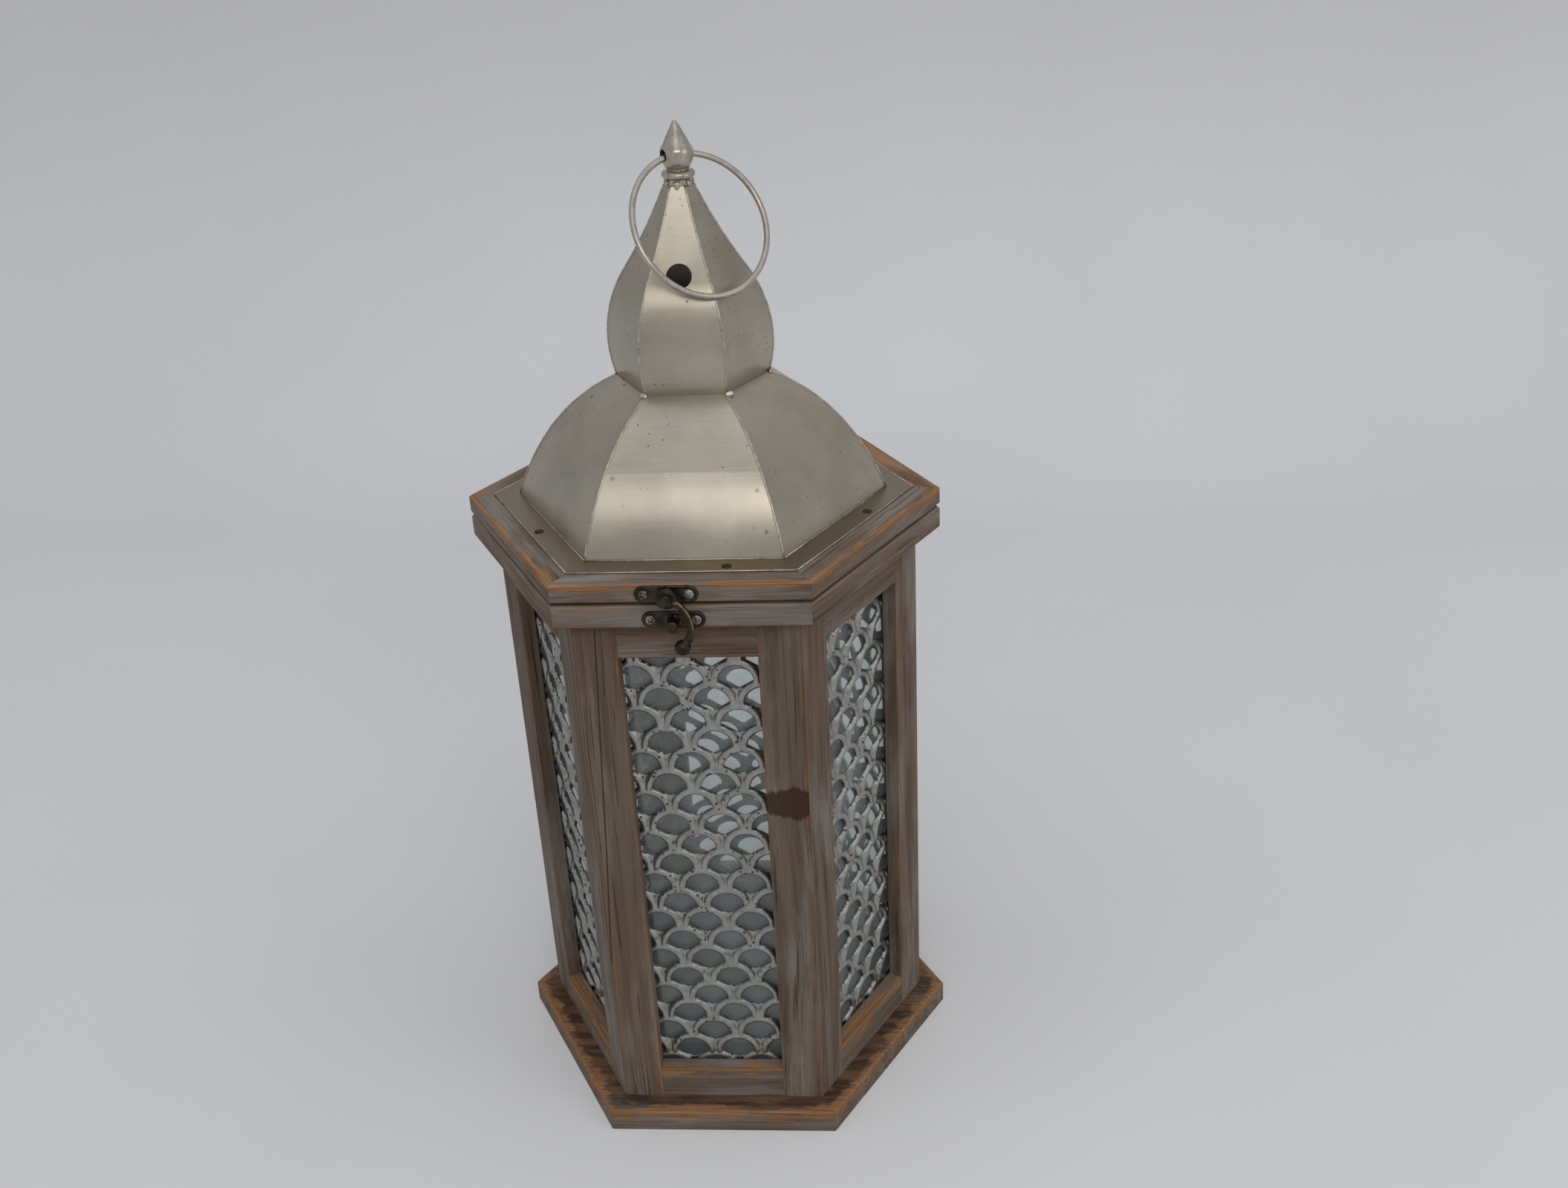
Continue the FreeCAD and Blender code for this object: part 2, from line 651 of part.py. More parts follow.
upper = latch_plate("latch_plate_upper", upper_level, rim_flat, size("upper_plate_offset"))
pivot = (pivot_x, term(0.0))
pad_disc(upper, "XZ_Plane", "arm_boss", pivot, size("boss_radius"),
         arm_back - size("latch_play"), rim_flat)
pad_disc(upper, "XZ_Plane", "arm_rivet", pivot, size("rivet_radius"),
         head_back + size("rivet_head_height"), rim_flat)
pad_disc(upper, "XZ_Plane", "arm_rivet_head", pivot, size("rivet_head_radius"),
         size("rivet_head_height"), rim_flat + head_back)

lower = latch_plate("latch_plate_lower", lower_level, rim_flat, size("lower_plate_offset"))
catch = (size("lower_plate_offset"), term(0.0))
pad_disc(lower, "XZ_Plane", "catch_stem", catch, size("catch_radius"),
         size("catch_reach"), rim_flat)
pad_disc(lower, "XZ_Plane", "catch_head", catch, size("catch_head_radius"),
         size("catch_head_height"), rim_flat + size("catch_reach") - size("catch_head_height"))

# The arm bows to the right of the catch and ends in a ball below it.  The curve's ends
# are given as angles about its own centre, and the rivet sits on its middle line.
ARM_START = math.radians(72)
ARM_END = math.radians(-46)
ARM_RISE = 1 - math.cos((ARM_START - ARM_END) / 2)
bow = size("arm_bow_radius")
bow_x = pivot_x - bow * math.cos(ARM_START)
bow_z = -(bow * math.sin(ARM_START))
outside = bow + size("arm_width") / 2
inside = bow - size("arm_width") / 2


def on_bow(radius, angle):
    return bow_x + radius * math.cos(angle), bow_z + radius * math.sin(angle)


arm = new_body("latch_arm", upper_level)
arm_face = rim_flat + arm_back
pad_loop(arm, "XZ_Plane", "arm_bow", [
    (*on_bow(outside, ARM_END), outside * ARM_RISE),
    on_bow(outside, ARM_START),
    (*on_bow(inside, ARM_START), -(inside * ARM_RISE)),
    on_bow(inside, ARM_END)], size("arm_thickness"), arm_face)
pad_disc(arm, "XZ_Plane", "arm_eye", pivot, size("arm_eye_radius"), size("arm_thickness"),
         arm_face)
ball_x, ball_z = on_bow(bow, ARM_END)
ball = arm.newObject("PartDesign::AdditiveSphere", "arm_ball")
ball.AttachmentSupport = [(origin_feature(arm, "XZ_Plane"), "")]
ball.MapMode = "FlatFace"
bind(ball, "AttachmentOffset.Base.x", ball_x)
bind(ball, "AttachmentOffset.Base.y", ball_z)
bind(ball, "AttachmentOffset.Base.z", arm_face + size("arm_thickness") / 2)
bind(ball, "Radius", size("arm_ball_radius"))
arm.Tip = ball
doc.recompute()
solid_arm = arm.Shape.Volume
eye = new_sketch(arm, "XZ_Plane", "arm_eye_bore", arm_face)
draw_circle(eye, pivot_x, 0.0, size("rivet_radius") + size("pivot_play"))
pocket(arm, eye)
doc.recompute()
if arm.Shape.Volume > solid_arm - 1.0:
    raise RuntimeError("the arm's eye cut nothing")

# ---------------------------------------------------------------- butt hinges at the back
barrel_y = rim_flat + size("knuckle_play") + size("knuckle_radius")
barrel_level = size("leaf_thickness") + size("leaf_gap") / 2
hinge_x = size("hinge_spacing") / 2
half_hinge = size("hinge_length") / 2
half_knuckle = size("knuckle_length") / 2
leaf_edge = rim_flat - size("leaf_depth")
leaf_plan = rectangle(-half_hinge, half_hinge, leaf_edge, rim_flat)
barrel = (barrel_y, barrel_level)


def hinge_pair(body, feature):
    """The second hinge, a hinge spacing to the right of the first."""
    pattern = body.newObject("PartDesign::LinearPattern", body.Name + "_pair")
    pattern.Originals = [feature]
    pattern.TransformMode = "Whole shape"
    pattern.Direction = (origin_feature(body, "X_Axis"), [""])
    pattern.Mode = "Spacing"
    bind(pattern, "Offset", size("hinge_spacing"))
    pattern.Occurrences = 2
    body.Tip = pattern


def knuckle(body, name, low, high, z_low, z_high):
    """One knuckle of a barrel from x low to high, with its tongue to the leaf."""
    tongue = rectangle(low, high, rim_flat, barrel_y)
    pad_loop(body, "XY_Plane", name + "_tongue", tongue, z_high - z_low, z_low)


fixed = new_body("hinge_leaf_fixed", rim_top, compound=True)
bind(fixed, "Placement.Base.x", -hinge_x)
leaf = pad_loop(fixed, "XY_Plane", "fixed_leaf", leaf_plan, size("leaf_thickness"))
outer_low = half_knuckle + size("knuckle_play")
for name, low, high in (("left", -half_hinge, -outer_low), ("right", outer_low, half_hinge)):
    knuckle(fixed, "fixed_%s" % name, low, high, term(0.0), size("leaf_thickness"))
    pad_disc(fixed, "YZ_Plane", "fixed_%s_barrel" % name, barrel, size("knuckle_radius"),
             half_hinge - outer_low, low)
pin = pad_disc(fixed, "YZ_Plane", "fixed_pin", barrel, size("pin_radius"),
               size("hinge_length"), -half_hinge)
hinge_pair(fixed, pin)

moving = new_body("hinge_leaf_moving", rim_top, compound=True)
bind(moving, "Placement.Base.x", -hinge_x)
moving_low = size("leaf_thickness") + size("leaf_gap")
moving_high = moving_low + size("leaf_thickness")
pad_loop(moving, "XY_Plane", "moving_leaf", leaf_plan, size("leaf_thickness"), moving_low)
knuckle(moving, "moving", -half_knuckle, half_knuckle, moving_low, moving_high)
pad_disc(moving, "YZ_Plane", "moving_barrel", barrel, size("knuckle_radius"),
         size("knuckle_length"), -half_knuckle)
pin_bore = new_sketch(moving, "YZ_Plane", "moving_bore")
draw_circle(pin_bore, barrel_y, barrel_level, size("pin_radius") + size("pin_play"))
bored = pocket(moving, pin_bore)
hinge_pair(moving, bored)

# ---------------------------------------------------------------- check and write
doc.recompute()
for item in doc.Objects:
    if "Invalid" in item.State or "Error" in item.State:
        raise RuntimeError("%s failed: %s" % (item.Label, item.State))

nodes = [item for item in doc.Objects if item.TypeId == "PartDesign::Body"] + [ring]
os.makedirs("parts", exist_ok=True)
for node in nodes:
    shape = node.Shape
    if shape.isNull() or not shape.isValid() or not shape.Solids:
        raise RuntimeError("%s has no valid solid" % node.Label)
for node in nodes:
    node.Shape.exportStep("parts/%s.step" % node.Label)
print("%d nodes written" % len(nodes))
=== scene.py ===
"""Looks of the six-sided candle lantern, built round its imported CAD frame.

Metres, in the frame's own axes: +Z up, the latch at the front on -Y.
"""
import math

import bpy
import numpy as np
from mathutils import Matrix, Vector


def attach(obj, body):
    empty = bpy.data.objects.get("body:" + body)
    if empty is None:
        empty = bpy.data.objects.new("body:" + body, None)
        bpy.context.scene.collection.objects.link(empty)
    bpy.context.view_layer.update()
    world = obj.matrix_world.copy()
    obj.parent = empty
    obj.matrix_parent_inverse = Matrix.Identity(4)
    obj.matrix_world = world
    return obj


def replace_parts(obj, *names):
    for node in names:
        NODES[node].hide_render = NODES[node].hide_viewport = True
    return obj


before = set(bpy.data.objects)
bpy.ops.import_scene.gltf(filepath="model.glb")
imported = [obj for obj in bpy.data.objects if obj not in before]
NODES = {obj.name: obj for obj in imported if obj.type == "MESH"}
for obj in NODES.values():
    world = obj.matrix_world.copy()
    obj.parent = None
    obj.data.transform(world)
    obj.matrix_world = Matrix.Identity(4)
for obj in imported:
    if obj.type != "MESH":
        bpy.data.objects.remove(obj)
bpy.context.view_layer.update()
MM = 0.001
SIDES = (1, 2, 3, 4, 5, 6)
COS30 = math.cos(math.radians(30))


# ---------------------------------------------------------------- shader helpers
class Nodes:
    """Short names for adding and linking shader nodes in one tree."""

    def __init__(self, tree):
        self.tree = tree

    def add(self, kind, inputs=None, **settings):
        node = self.tree.nodes.new(kind)
        for key, value in settings.items():
            setattr(node, key, value)
        for key, value in (inputs or {}).items():
            self.put(node.inputs[key], value)
        return node

    def put(self, socket, value):
        if isinstance(value, bpy.types.NodeSocket):
            self.tree.links.new(value, socket)
        else:
            socket.default_value = value

    def math(self, operation, first, second=0.0, clamp=False):
        node = self.add("ShaderNodeMath", {0: first, 1: second}, operation=operation)
        node.use_clamp = clamp
        return node.outputs[0]

    def scaled(self, vector, scale, offset=(0.0, 0.0, 0.0)):
        inputs = {"Vector": vector, "Scale": scale, "Location": offset}
        return self.add("ShaderNodeMapping", inputs).outputs[0]

    def noise(self, vector, scale=1.0, detail=3.0, rough=0.55, distortion=0.0):
        inputs = {"Vector": vector, "Scale": scale, "Detail": detail, "Roughness": rough,
                  "Distortion": distortion}
        return self.add("ShaderNodeTexNoise", inputs).outputs[0]

    def ramp(self, value, low, high, start=0.0, end=1.0):
        inputs = {"Value": value, "From Min": low, "From Max": high, "To Min": start,
                  "To Max": end}
        node = self.add("ShaderNodeMapRange", inputs, interpolation_type="SMOOTHSTEP")
        return node.outputs[0]

    def mix(self, factor, first, second, blend="MIX"):
        node = self.add("ShaderNodeMix", data_type="RGBA", blend_type=blend)
        self.put(node.inputs[0], factor)
        self.put(node.inputs[6], first)
        self.put(node.inputs[7], second)
        return node.outputs[2]

    def spots(self, vector, scale, size, soft=0.06):
        """1 inside scattered round spots, 0 between them."""
        cells = self.add("ShaderNodeTexVoronoi", {"Vector": vector, "Scale": scale})
        return self.ramp(cells.outputs["Distance"], size, size + soft, 1.0, 0.0)

    def bump(self, height, distance, strength=1.0, normal=None):
        inputs = {"Height": height, "Distance": distance, "Strength": strength}
        if normal is not None:
            inputs["Normal"] = normal
        return self.add("ShaderNodeBump", inputs).outputs[0]

    def edges(self, radius, low=0.02, high=0.35):
        """1 near sharp edges of the piece, 0 on its flats."""
        rounded = self.add("ShaderNodeBevel", {"Radius": radius}, samples=6).outputs[0]
        flat = self.add("ShaderNodeNewGeometry").outputs["Normal"]
        dot = self.add("ShaderNodeVectorMath", {0: rounded, 1: flat},
                       operation="DOT_PRODUCT").outputs["Value"]
        return self.ramp(dot, 1.0 - high, 1.0 - low, 1.0, 0.0)


def rgb(red, green, blue):
    return (red, green, blue, 1.0)


def new_material(name):
    material = bpy.data.materials.new(name)
    material.use_nodes = True
    material.node_tree.nodes.clear()
    kit = Nodes(material.node_tree)
    out = kit.add("ShaderNodeOutputMaterial")
    shader = kit.add("ShaderNodeBsdfPrincipled")
    kit.put(out.inputs["Surface"], shader.outputs[0])
    place = kit.add("ShaderNodeTexCoord").outputs["Object"]
    return material, kit, shader, place


def wood(name, turn, upright, seed, wash, edges, top=None, stain=None, split=None):
    """Limewashed softwood; its grain runs up the piece or along its side of the hexagon.

    edges lists worn arrises as (u, v, reach, amount), in metres across the grain: x and y
    for an upright, y and z for the rest.  The word "hexagon" wears the base's whole rim.
    top is (height, dark, pale): above that height the wood is rubbed bare.  stain is
    (x, y, z, half width, half height), and split is a crack (x, z, x, z) down the front.
    """
    material, kit, shader, place = new_material(name)
    turned = kit.add("ShaderNodeVectorRotate", {"Vector": place, "Angle": -math.radians(turn)},
                     rotation_type="Z_AXIS").outputs[0]
    parts = kit.add("ShaderNodeSeparateXYZ", {0: turned})
    order = (2, 0, 1) if upright else (0, 1, 2)
    grain = kit.add("ShaderNodeCombineXYZ", {i: parts.outputs[o] for i, o in enumerate(order)})
    offset = (seed * 1.31, seed * 0.77, seed * 0.53)
    warp = kit.noise(kit.scaled(grain.outputs[0], (5, 14, 14), offset), detail=1.0)
    bent = kit.add("ShaderNodeVectorMath", {0: grain.outputs[0], 1: (0.0, 0.0, 0.0)})
    kit.put(bent.inputs[1], kit.add("ShaderNodeCombineXYZ", {
        1: kit.math("MULTIPLY", warp, 0.012), 2: kit.math("MULTIPLY", warp, 0.009)}).outputs[0])
    along = bent.outputs[0]
    rings = kit.noise(kit.scaled(along, (5, 210, 210), offset), detail=2.0, distortion=0.4)
    fibre = kit.noise(kit.scaled(along, (16, 900, 900), offset), detail=3.0, rough=0.7)
    hair = kit.noise(kit.scaled(along, (40, 2600, 2600), offset), detail=2.0, rough=0.7)
    patch = kit.noise(kit.scaled(along, (10, 46, 46), offset), detail=4.0, rough=0.62)
    broad = kit.noise(kit.scaled(along, (4, 14, 14), offset), detail=2.0)
    rub = kit.noise(kit.scaled(along, (26, 90, 90), offset), detail=4.0, rough=0.7)
    dark_ring, pale_ring = rgb(0.112, 0.075, 0.053), rgb(0.205, 0.148, 0.108)
    colour = kit.mix(kit.ramp(rings, 0.34, 0.66), dark_ring, pale_ring)
    colour = kit.mix(kit.ramp(fibre, 0.42, 0.74, 0.0, 0.45), colour, rgb(0.27, 0.200, 0.150))
    brown = kit.math("MULTIPLY", kit.ramp(broad, 0.48, 0.66), kit.ramp(fibre, 0.3, 0.6))
    colour = kit.mix(kit.math("MULTIPLY", brown, 0.60), colour, rgb(0.205, 0.105, 0.055))
    streak = kit.math("MULTIPLY", kit.ramp(patch, 0.62 - wash * 0.34, 0.80 - wash * 0.2),
                      kit.ramp(kit.math("ADD", fibre, hair), 0.84, 1.18))
    colour = kit.mix(kit.math("MULTIPLY", streak, 0.62), colour, rgb(0.43, 0.400, 0.375))
    haze = kit.math("MULTIPLY", kit.ramp(patch, 0.36, 0.68), 0.85 * wash)
    colour = kit.mix(haze, colour, rgb(0.30, 0.268, 0.245))
    crack = kit.ramp(kit.noise(kit.scaled(along, (7, 520, 520), offset), detail=1.0),
                     0.27, 0.33, 1.0, 0.0)
    colour = kit.mix(kit.math("MULTIPLY", crack, 0.6), colour, rgb(0.030, 0.020, 0.014))
    bare = kit.mix(kit.ramp(fibre, 0.35, 0.7), rgb(0.25, 0.115, 0.050), rgb(0.45, 0.245, 0.115))
    worn = 0.0
    if edges == "hexagon":
        flats = [kit.math("ABSOLUTE", kit.add("ShaderNodeVectorMath", {0: turned, 1: way},
                                              operation="DOT_PRODUCT").outputs["Value"])
                 for way in ((0.0, 1.0, 0.0), (COS30, 0.5, 0.0), (-COS30, 0.5, 0.0))]
        flat = kit.math("MAXIMUM", kit.math("MAXIMUM", flats[0], flats[1]), flats[2])
        here = kit.add("ShaderNodeCombineXYZ", {0: flat, 1: parts.outputs[2]})
        gap = kit.add("ShaderNodeVectorMath", {0: here.outputs[0], 1: (0.1211, 0.0149, 0.0)},
                      operation="DISTANCE").outputs["Value"]
        ragged = kit.math("ADD", kit.math("MULTIPLY", gap, 1.0 / 0.0045),
                          kit.math("MULTIPLY", kit.math("SUBTRACT", rub, 0.47), -6.0))
        worn = kit.ramp(ragged, 0.45, 1.25, 0.9, 0.0)
        edges = ()
    for u, v, reach, amount in edges:
        here = kit.add("ShaderNodeCombineXYZ", {0: parts.outputs[0 if upright else 1],
                                                1: parts.outputs[1 if upright else 2]})
        gap = kit.add("ShaderNodeVectorMath", {0: here.outputs[0], 1: (u, v, 0.0)},
                      operation="DISTANCE").outputs["Value"]
        ragged = kit.math("ADD", kit.math("MULTIPLY", gap, 1.0 / reach),
                          kit.math("MULTIPLY", kit.math("SUBTRACT", rub, 0.47), -7.0))
        worn = kit.math("MAXIMUM", worn, kit.ramp(ragged, 0.45, 1.05, amount, 0.0))
    if top is not None:
        height, dark, pale = top
        bared = kit.math("MULTIPLY", kit.ramp(parts.outputs[2], height - 0.0012, height - 0.0002),
                         kit.ramp(rub, 0.32, 0.52, 0.35, 1.0))
        strokes = kit.ramp(kit.noise(kit.scaled(along, (20, 120, 120), offset), detail=3.0),
                           0.40, 0.60)
        bare_top = kit.mix(strokes, rgb(*dark), rgb(*pale))
        colour = kit.mix(kit.math("MULTIPLY", bared, 0.9), colour, bare_top)
    colour = kit.mix(kit.math("MULTIPLY", worn, 0.95), colour, bare)
    if stain:
        here = kit.add("ShaderNodeVectorMath", {0: turned, 1: stain[:3]}, operation="SUBTRACT")
        squashed = kit.scaled(here.outputs[0], (1.0 / stain[3], 0.0, 1.0 / stain[4]))
        reach = kit.add("ShaderNodeVectorMath", {0: squashed}, operation="LENGTH")
        ragged = kit.math("ADD", reach.outputs["Value"], kit.math("MULTIPLY", rub, 1.3))
        mark = kit.ramp(ragged, 1.48, 1.66, 0.88, 0.0)
        colour = kit.mix(mark, colour, rgb(0.050, 0.018, 0.010))
    if split:
        x0, z0, x1, z1 = split
        above = kit.math("SUBTRACT", parts.outputs[2], z0)
        lean = kit.math("MULTIPLY", above, (x1 - x0) / (z1 - z0))
        wander = kit.math("MULTIPLY", kit.math("SUBTRACT", broad, 0.5), 0.004)
        off = kit.math("ADD", kit.math("SUBTRACT", parts.outputs[0], lean), wander)
        beside = kit.math("ABSOLUTE", kit.math("SUBTRACT", off, x0))
        within = kit.ramp(parts.outputs[2], min(z0, z1) - 0.002, min(z0, z1) + 0.004)
        gap = kit.math("MULTIPLY", kit.ramp(beside, 0.00022, 0.00050, 1.0, 0.0), within)
        colour = kit.mix(kit.math("MULTIPLY", gap, 0.85), colour, rgb(0.035, 0.022, 0.015))
        crack = kit.math("MAXIMUM", crack, gap)
    kit.put(shader.inputs["Base Color"], colour)
    kit.put(shader.inputs["Roughness"], kit.ramp(fibre, 0.2, 0.8, 0.82, 0.62))
    kit.put(shader.inputs["Specular IOR Level"], 0.3)
    relief = kit.math("ADD", kit.math("MULTIPLY", fibre, 0.6), kit.math("MULTIPLY", rings, 0.8))
    relief = kit.math("SUBTRACT", relief, kit.math("MULTIPLY", crack, 1.2))
    rounded = kit.add("ShaderNodeBevel", {"Radius": 0.0009}, samples=4).outputs[0]
    kit.put(shader.inputs["Normal"], kit.bump(relief, 0.0006, 0.75, rounded))
    return material


def sheet_metal(name, base, rough):
    """Brushed nickel on folded sheet, a little uneven and specked with brown."""
    material, kit, shader, place = new_material(name)
    brushed = kit.noise(kit.scaled(place, (24, 24, 1500)), detail=3.0, rough=0.7)
    cloud = kit.noise(place, 26.0, 4.0, 0.6)
    drift = kit.noise(place, 9.0, 2.0, 0.5)
    low = rgb(*(channel * 0.80 for channel in base))
    colour = kit.mix(kit.ramp(cloud, 0.3, 0.72), low, rgb(*base))
    colour = kit.mix(kit.ramp(brushed, 0.35, 0.75, 0.0, 0.10), colour, rgb(0.80, 0.74, 0.64))
    colour = kit.mix(kit.ramp(drift, 0.5, 0.75, 0.0, 0.35), colour, rgb(0.52, 0.42, 0.26))
    fine = kit.math("MULTIPLY", kit.spots(place, 210.0, 0.10),
                    kit.ramp(kit.noise(place, 34.0, 2.0), 0.50, 0.62))
    coarse = kit.math("MULTIPLY", kit.spots(place, 95.0, 0.09),
                      kit.ramp(kit.noise(place, 17.0, 2.0), 0.54, 0.66))
    specked = kit.math("MULTIPLY", kit.math("MAXIMUM", fine, coarse), 0.55)
    tarnish = kit.math("MULTIPLY", kit.edges(0.0016), kit.ramp(cloud, 0.42, 0.62))
    colour = kit.mix(kit.math("MULTIPLY", tarnish, 0.35), colour, rgb(0.20, 0.15, 0.09))
    colour = kit.mix(specked, colour, rgb(0.10, 0.065, 0.035))
    height = kit.add("ShaderNodeSeparateXYZ", {0: place}).outputs[2]
    # Painted reflection: the flange, below the dome's foot, is painted a darker brown for the
    # darker room and dome foot that it mirrors.
    flange = kit.ramp(height, 0.3834, 0.3846, 0.80, 0.0)
    colour = kit.mix(flange, colour, rgb(0.24, 0.185, 0.125))
    kit.put(shader.inputs["Base Color"], colour)
    dull = kit.math("MULTIPLY", specked, 0.6)
    kit.put(shader.inputs["Metallic"], kit.math("SUBTRACT", 1.0, dull))
    even = kit.math("ADD", rough, kit.ramp(brushed, 0.25, 0.75, -0.02, 0.03))
    kit.put(shader.inputs["Roughness"], kit.math("ADD", even, kit.math("MULTIPLY", specked, 0.3)))
    kit.put(shader.inputs["Anisotropic"], 0.45)
    dents = kit.math("ADD", kit.math("MULTIPLY", drift, 3.0), kit.math("MULTIPLY", brushed, 0.012))
    kit.put(shader.inputs["Normal"], kit.bump(dents, 0.0011, 0.55))
    return material


def cast_metal(name, low, high, bare, rough, specks, wear=0.6, relief=0.12, grit=480.0):
    """Plated or patinated small metal: dark in its hollows and bright where it is rubbed."""
    material, kit, shader, place = new_material(name)
    cloud = kit.noise(place, 210.0, 4.0, 0.65)
    grain = kit.noise(place, 1300.0, 3.0, 0.6)
    colour = kit.mix(kit.ramp(cloud, 0.34, 0.68), rgb(*low), rgb(*high))
    rub = kit.math("MULTIPLY", kit.edges(0.0007, 0.01, 0.3), kit.ramp(cloud, 0.36, 0.58))
    colour = kit.mix(kit.math("MULTIPLY", rub, wear), colour, rgb(*bare))
    gate = kit.ramp(kit.noise(place, 60.0, 2.0), 0.42, 0.58)
    rust = kit.math("MULTIPLY", kit.spots(place, grit, 0.20, 0.12), gate)
    rust = kit.math("MULTIPLY", rust, specks)
    colour = kit.mix(rust, colour, rgb(0.075, 0.045, 0.028))
    kit.put(shader.inputs["Base Color"], colour)
    kit.put(shader.inputs["Metallic"], kit.math("SUBTRACT", 0.96, kit.math("MULTIPLY", rust, 0.7)))
    uneven = kit.ramp(cloud, 0.3, 0.7, -0.06, 0.12)
    kit.put(shader.inputs["Roughness"], kit.math("ADD", rough, uneven))
    kit.put(shader.inputs["Normal"], kit.bump(kit.math("ADD", cloud, grain), 0.00025, relief))
    return material


def pane(name):
    """Clean thin glass with a faint sheen and a little dust."""
    material, kit, shader, place = new_material(name)
    out = next(node for node in material.node_tree.nodes if node.type == "OUTPUT_MATERIAL")
    clear = kit.add("ShaderNodeBsdfTransparent", {"Color": rgb(0.955, 0.972, 0.968)})
    gloss = kit.add("ShaderNodeBsdfGlossy", {"Color": rgb(1, 1, 1), "Roughness": 0.04})
    dusty = kit.ramp(kit.noise(place, 40.0, 4.0, 0.6), 0.35, 0.8, 0.05, 0.085)
    mixed = kit.add("ShaderNodeMixShader", {0: dusty, 1: clear.outputs[0], 2: gloss.outputs[0]})
    film = kit.add("ShaderNodeBsdfDiffuse", {"Color": rgb(0.56, 0.66, 0.68)})
    smear = kit.ramp(kit.noise(kit.scaled(place, (9, 9, 5)), 1.0, 3.0), 0.3, 0.75, 0.07, 0.15)
    filmed = kit.add("ShaderNodeMixShader", {0: smear, 1: mixed.outputs[0], 2: film.outputs[0]})
    kit.put(out.inputs["Surface"], filmed.outputs[0])
    material.node_tree.nodes.remove(shader)
    return material


def dress(thing, material):
    thing.data.materials.clear()
    thing.data.materials.append(material)
    return thing


# ---------------------------------------------------------------- mesh helpers
def add_mesh(name, points, faces, material, body, smooth=True):
    """A new mesh piece, in millimetres, that rides on a body of the frame."""
    mesh = bpy.data.meshes.new(name)
    scaled = [tuple(float(value) * MM for value in point) for point in points]
    mesh.from_pydata(scaled, [], [tuple(int(i) for i in face) for face in faces])
    mesh.validate()
    mesh.update()
    mesh.shade_smooth() if smooth else mesh.shade_flat()
    thing = bpy.data.objects.new(name, mesh)
    bpy.context.scene.collection.objects.link(thing)
    dress(thing, material)
    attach(thing, body)
    return thing


def lathe_parts(profile, count):
    """Points and faces of a (radius, height) profile turned about the vertical axis."""
    points, faces = [], []
    for radius, height in profile:
        for step in range(count):
            angle = 2 * math.pi * step / count
            points.append((radius * math.cos(angle), radius * math.sin(angle), height))
    for ring in range(len(profile) - 1):
        for step in range(count):
            after = (step + 1) % count
            a, b = ring * count, (ring + 1) * count
            faces.append((a + step, a + after, b + after, b + step))
    faces.append(tuple(reversed(range(count))))
    last = (len(profile) - 1) * count
    faces.append(tuple(last + step for step in range(count)))
    return points, faces


def moved(points, matrix):
    return [tuple(matrix @ Vector(point)) for point in points]


def merge(parts):
    """Joins (points, faces) pairs into one."""
    points, faces = [], []
    for more_points, more_faces in parts:
        start = len(points)
        points += more_points
        faces += [tuple(start + index for index in face) for face in more_faces]
    return points, faces


def sweep_parts(centres, ups, sizes, count=14, closed=False):
    """A tube along centres with an oval section of the given (across, thick) radii."""
    points, faces = [], []
    total = len(centres)
    for index, centre in enumerate(centres):
        if closed:
            ahead, behind = centres[(index + 1) % total], centres[index - 1]
        else:
            ahead, behind = centres[min(index + 1, total - 1)], centres[max(index - 1, 0)]
        along = (Vector(ahead) - Vector(behind)).normalized()
        up = Vector(ups[index])
        up = (up - along * up.dot(along)).normalized()
        across = along.cross(up)
        for step in range(count):
            angle = 2 * math.pi * step / count
            offset = (across * math.cos(angle) * sizes[index][0]
                      + up * math.sin(angle) * sizes[index][1])
            points.append(tuple(Vector(centre) + offset))
    for index in range(total if closed else total - 1):
        a, b = index * count, ((index + 1) % total) * count
        for step in range(count):
            after = (step + 1) % count
            faces.append((a + step, a + after, b + after, b + step))
    if not closed:
        faces.append(tuple(reversed(range(count))))
        faces.append(tuple(range((total - 1) * count, total * count)))
    return points, faces


def arc_points(start, end, bulge, count):
    """Points of the arc that rises to the right of the way from start to end."""
    start, end = np.array(start, float), np.array(end, float)
    chord = end - start
    length = math.hypot(*chord)
    radius = (length * length / 4 + bulge * bulge) / (2 * bulge)
    centre = (start + end) / 2 + np.array([chord[1], -chord[0]]) / length * (bulge - radius)
    first = math.atan2(*(start - centre)[::-1])
    turn = (math.atan2(*(end - centre)[::-1]) - first + math.pi) % (2 * math.pi) - math.pi
    angles = first + np.linspace(0, turn, count)
    return [(centre[0] + abs(radius) * math.cos(a), centre[1] + abs(radius) * math.sin(a))
            for a in angles]


# ---------------------------------------------------------------- materials
ROOF = sheet_metal("roof_nickel", (0.49, 0.445, 0.365), 0.31)
SEAM = cast_metal("seam_nickel", (0.38, 0.335, 0.27), (0.56, 0.51, 0.42), (0.74, 0.67, 0.55),
                  rough=0.28, specks=0.3)
TURNED = cast_metal("turned_nickel", (0.42, 0.385, 0.33), (0.50, 0.46, 0.405), (0.66, 0.61, 0.53),
                    rough=0.27, specks=0.05, wear=0.5, relief=0.03)
PEWTER = cast_metal("grille_pewter", (0.285, 0.285, 0.265), (0.405, 0.40, 0.375),
                    (0.52, 0.51, 0.48), rough=0.33, specks=1.0, wear=0.2, relief=0.06, grit=300.0)
SCREW = cast_metal("screw_steel", (0.10, 0.095, 0.085), (0.36, 0.345, 0.32), (0.70, 0.68, 0.64),
                   rough=0.30, specks=0.1, wear=0.8, relief=0.08)
# Brass for the strip on the latch arm's outer edge: rubbed metal, and a painted highlight.
RUBBED_HIGHLIGHT_BRASS = cast_metal("rubbed_highlight_brass", (0.16, 0.115, 0.060), (0.42, 0.31, 0.16), (0.60, 0.46, 0.26),
                   rough=0.34, specks=0.1, wear=0.5, relief=0.05)
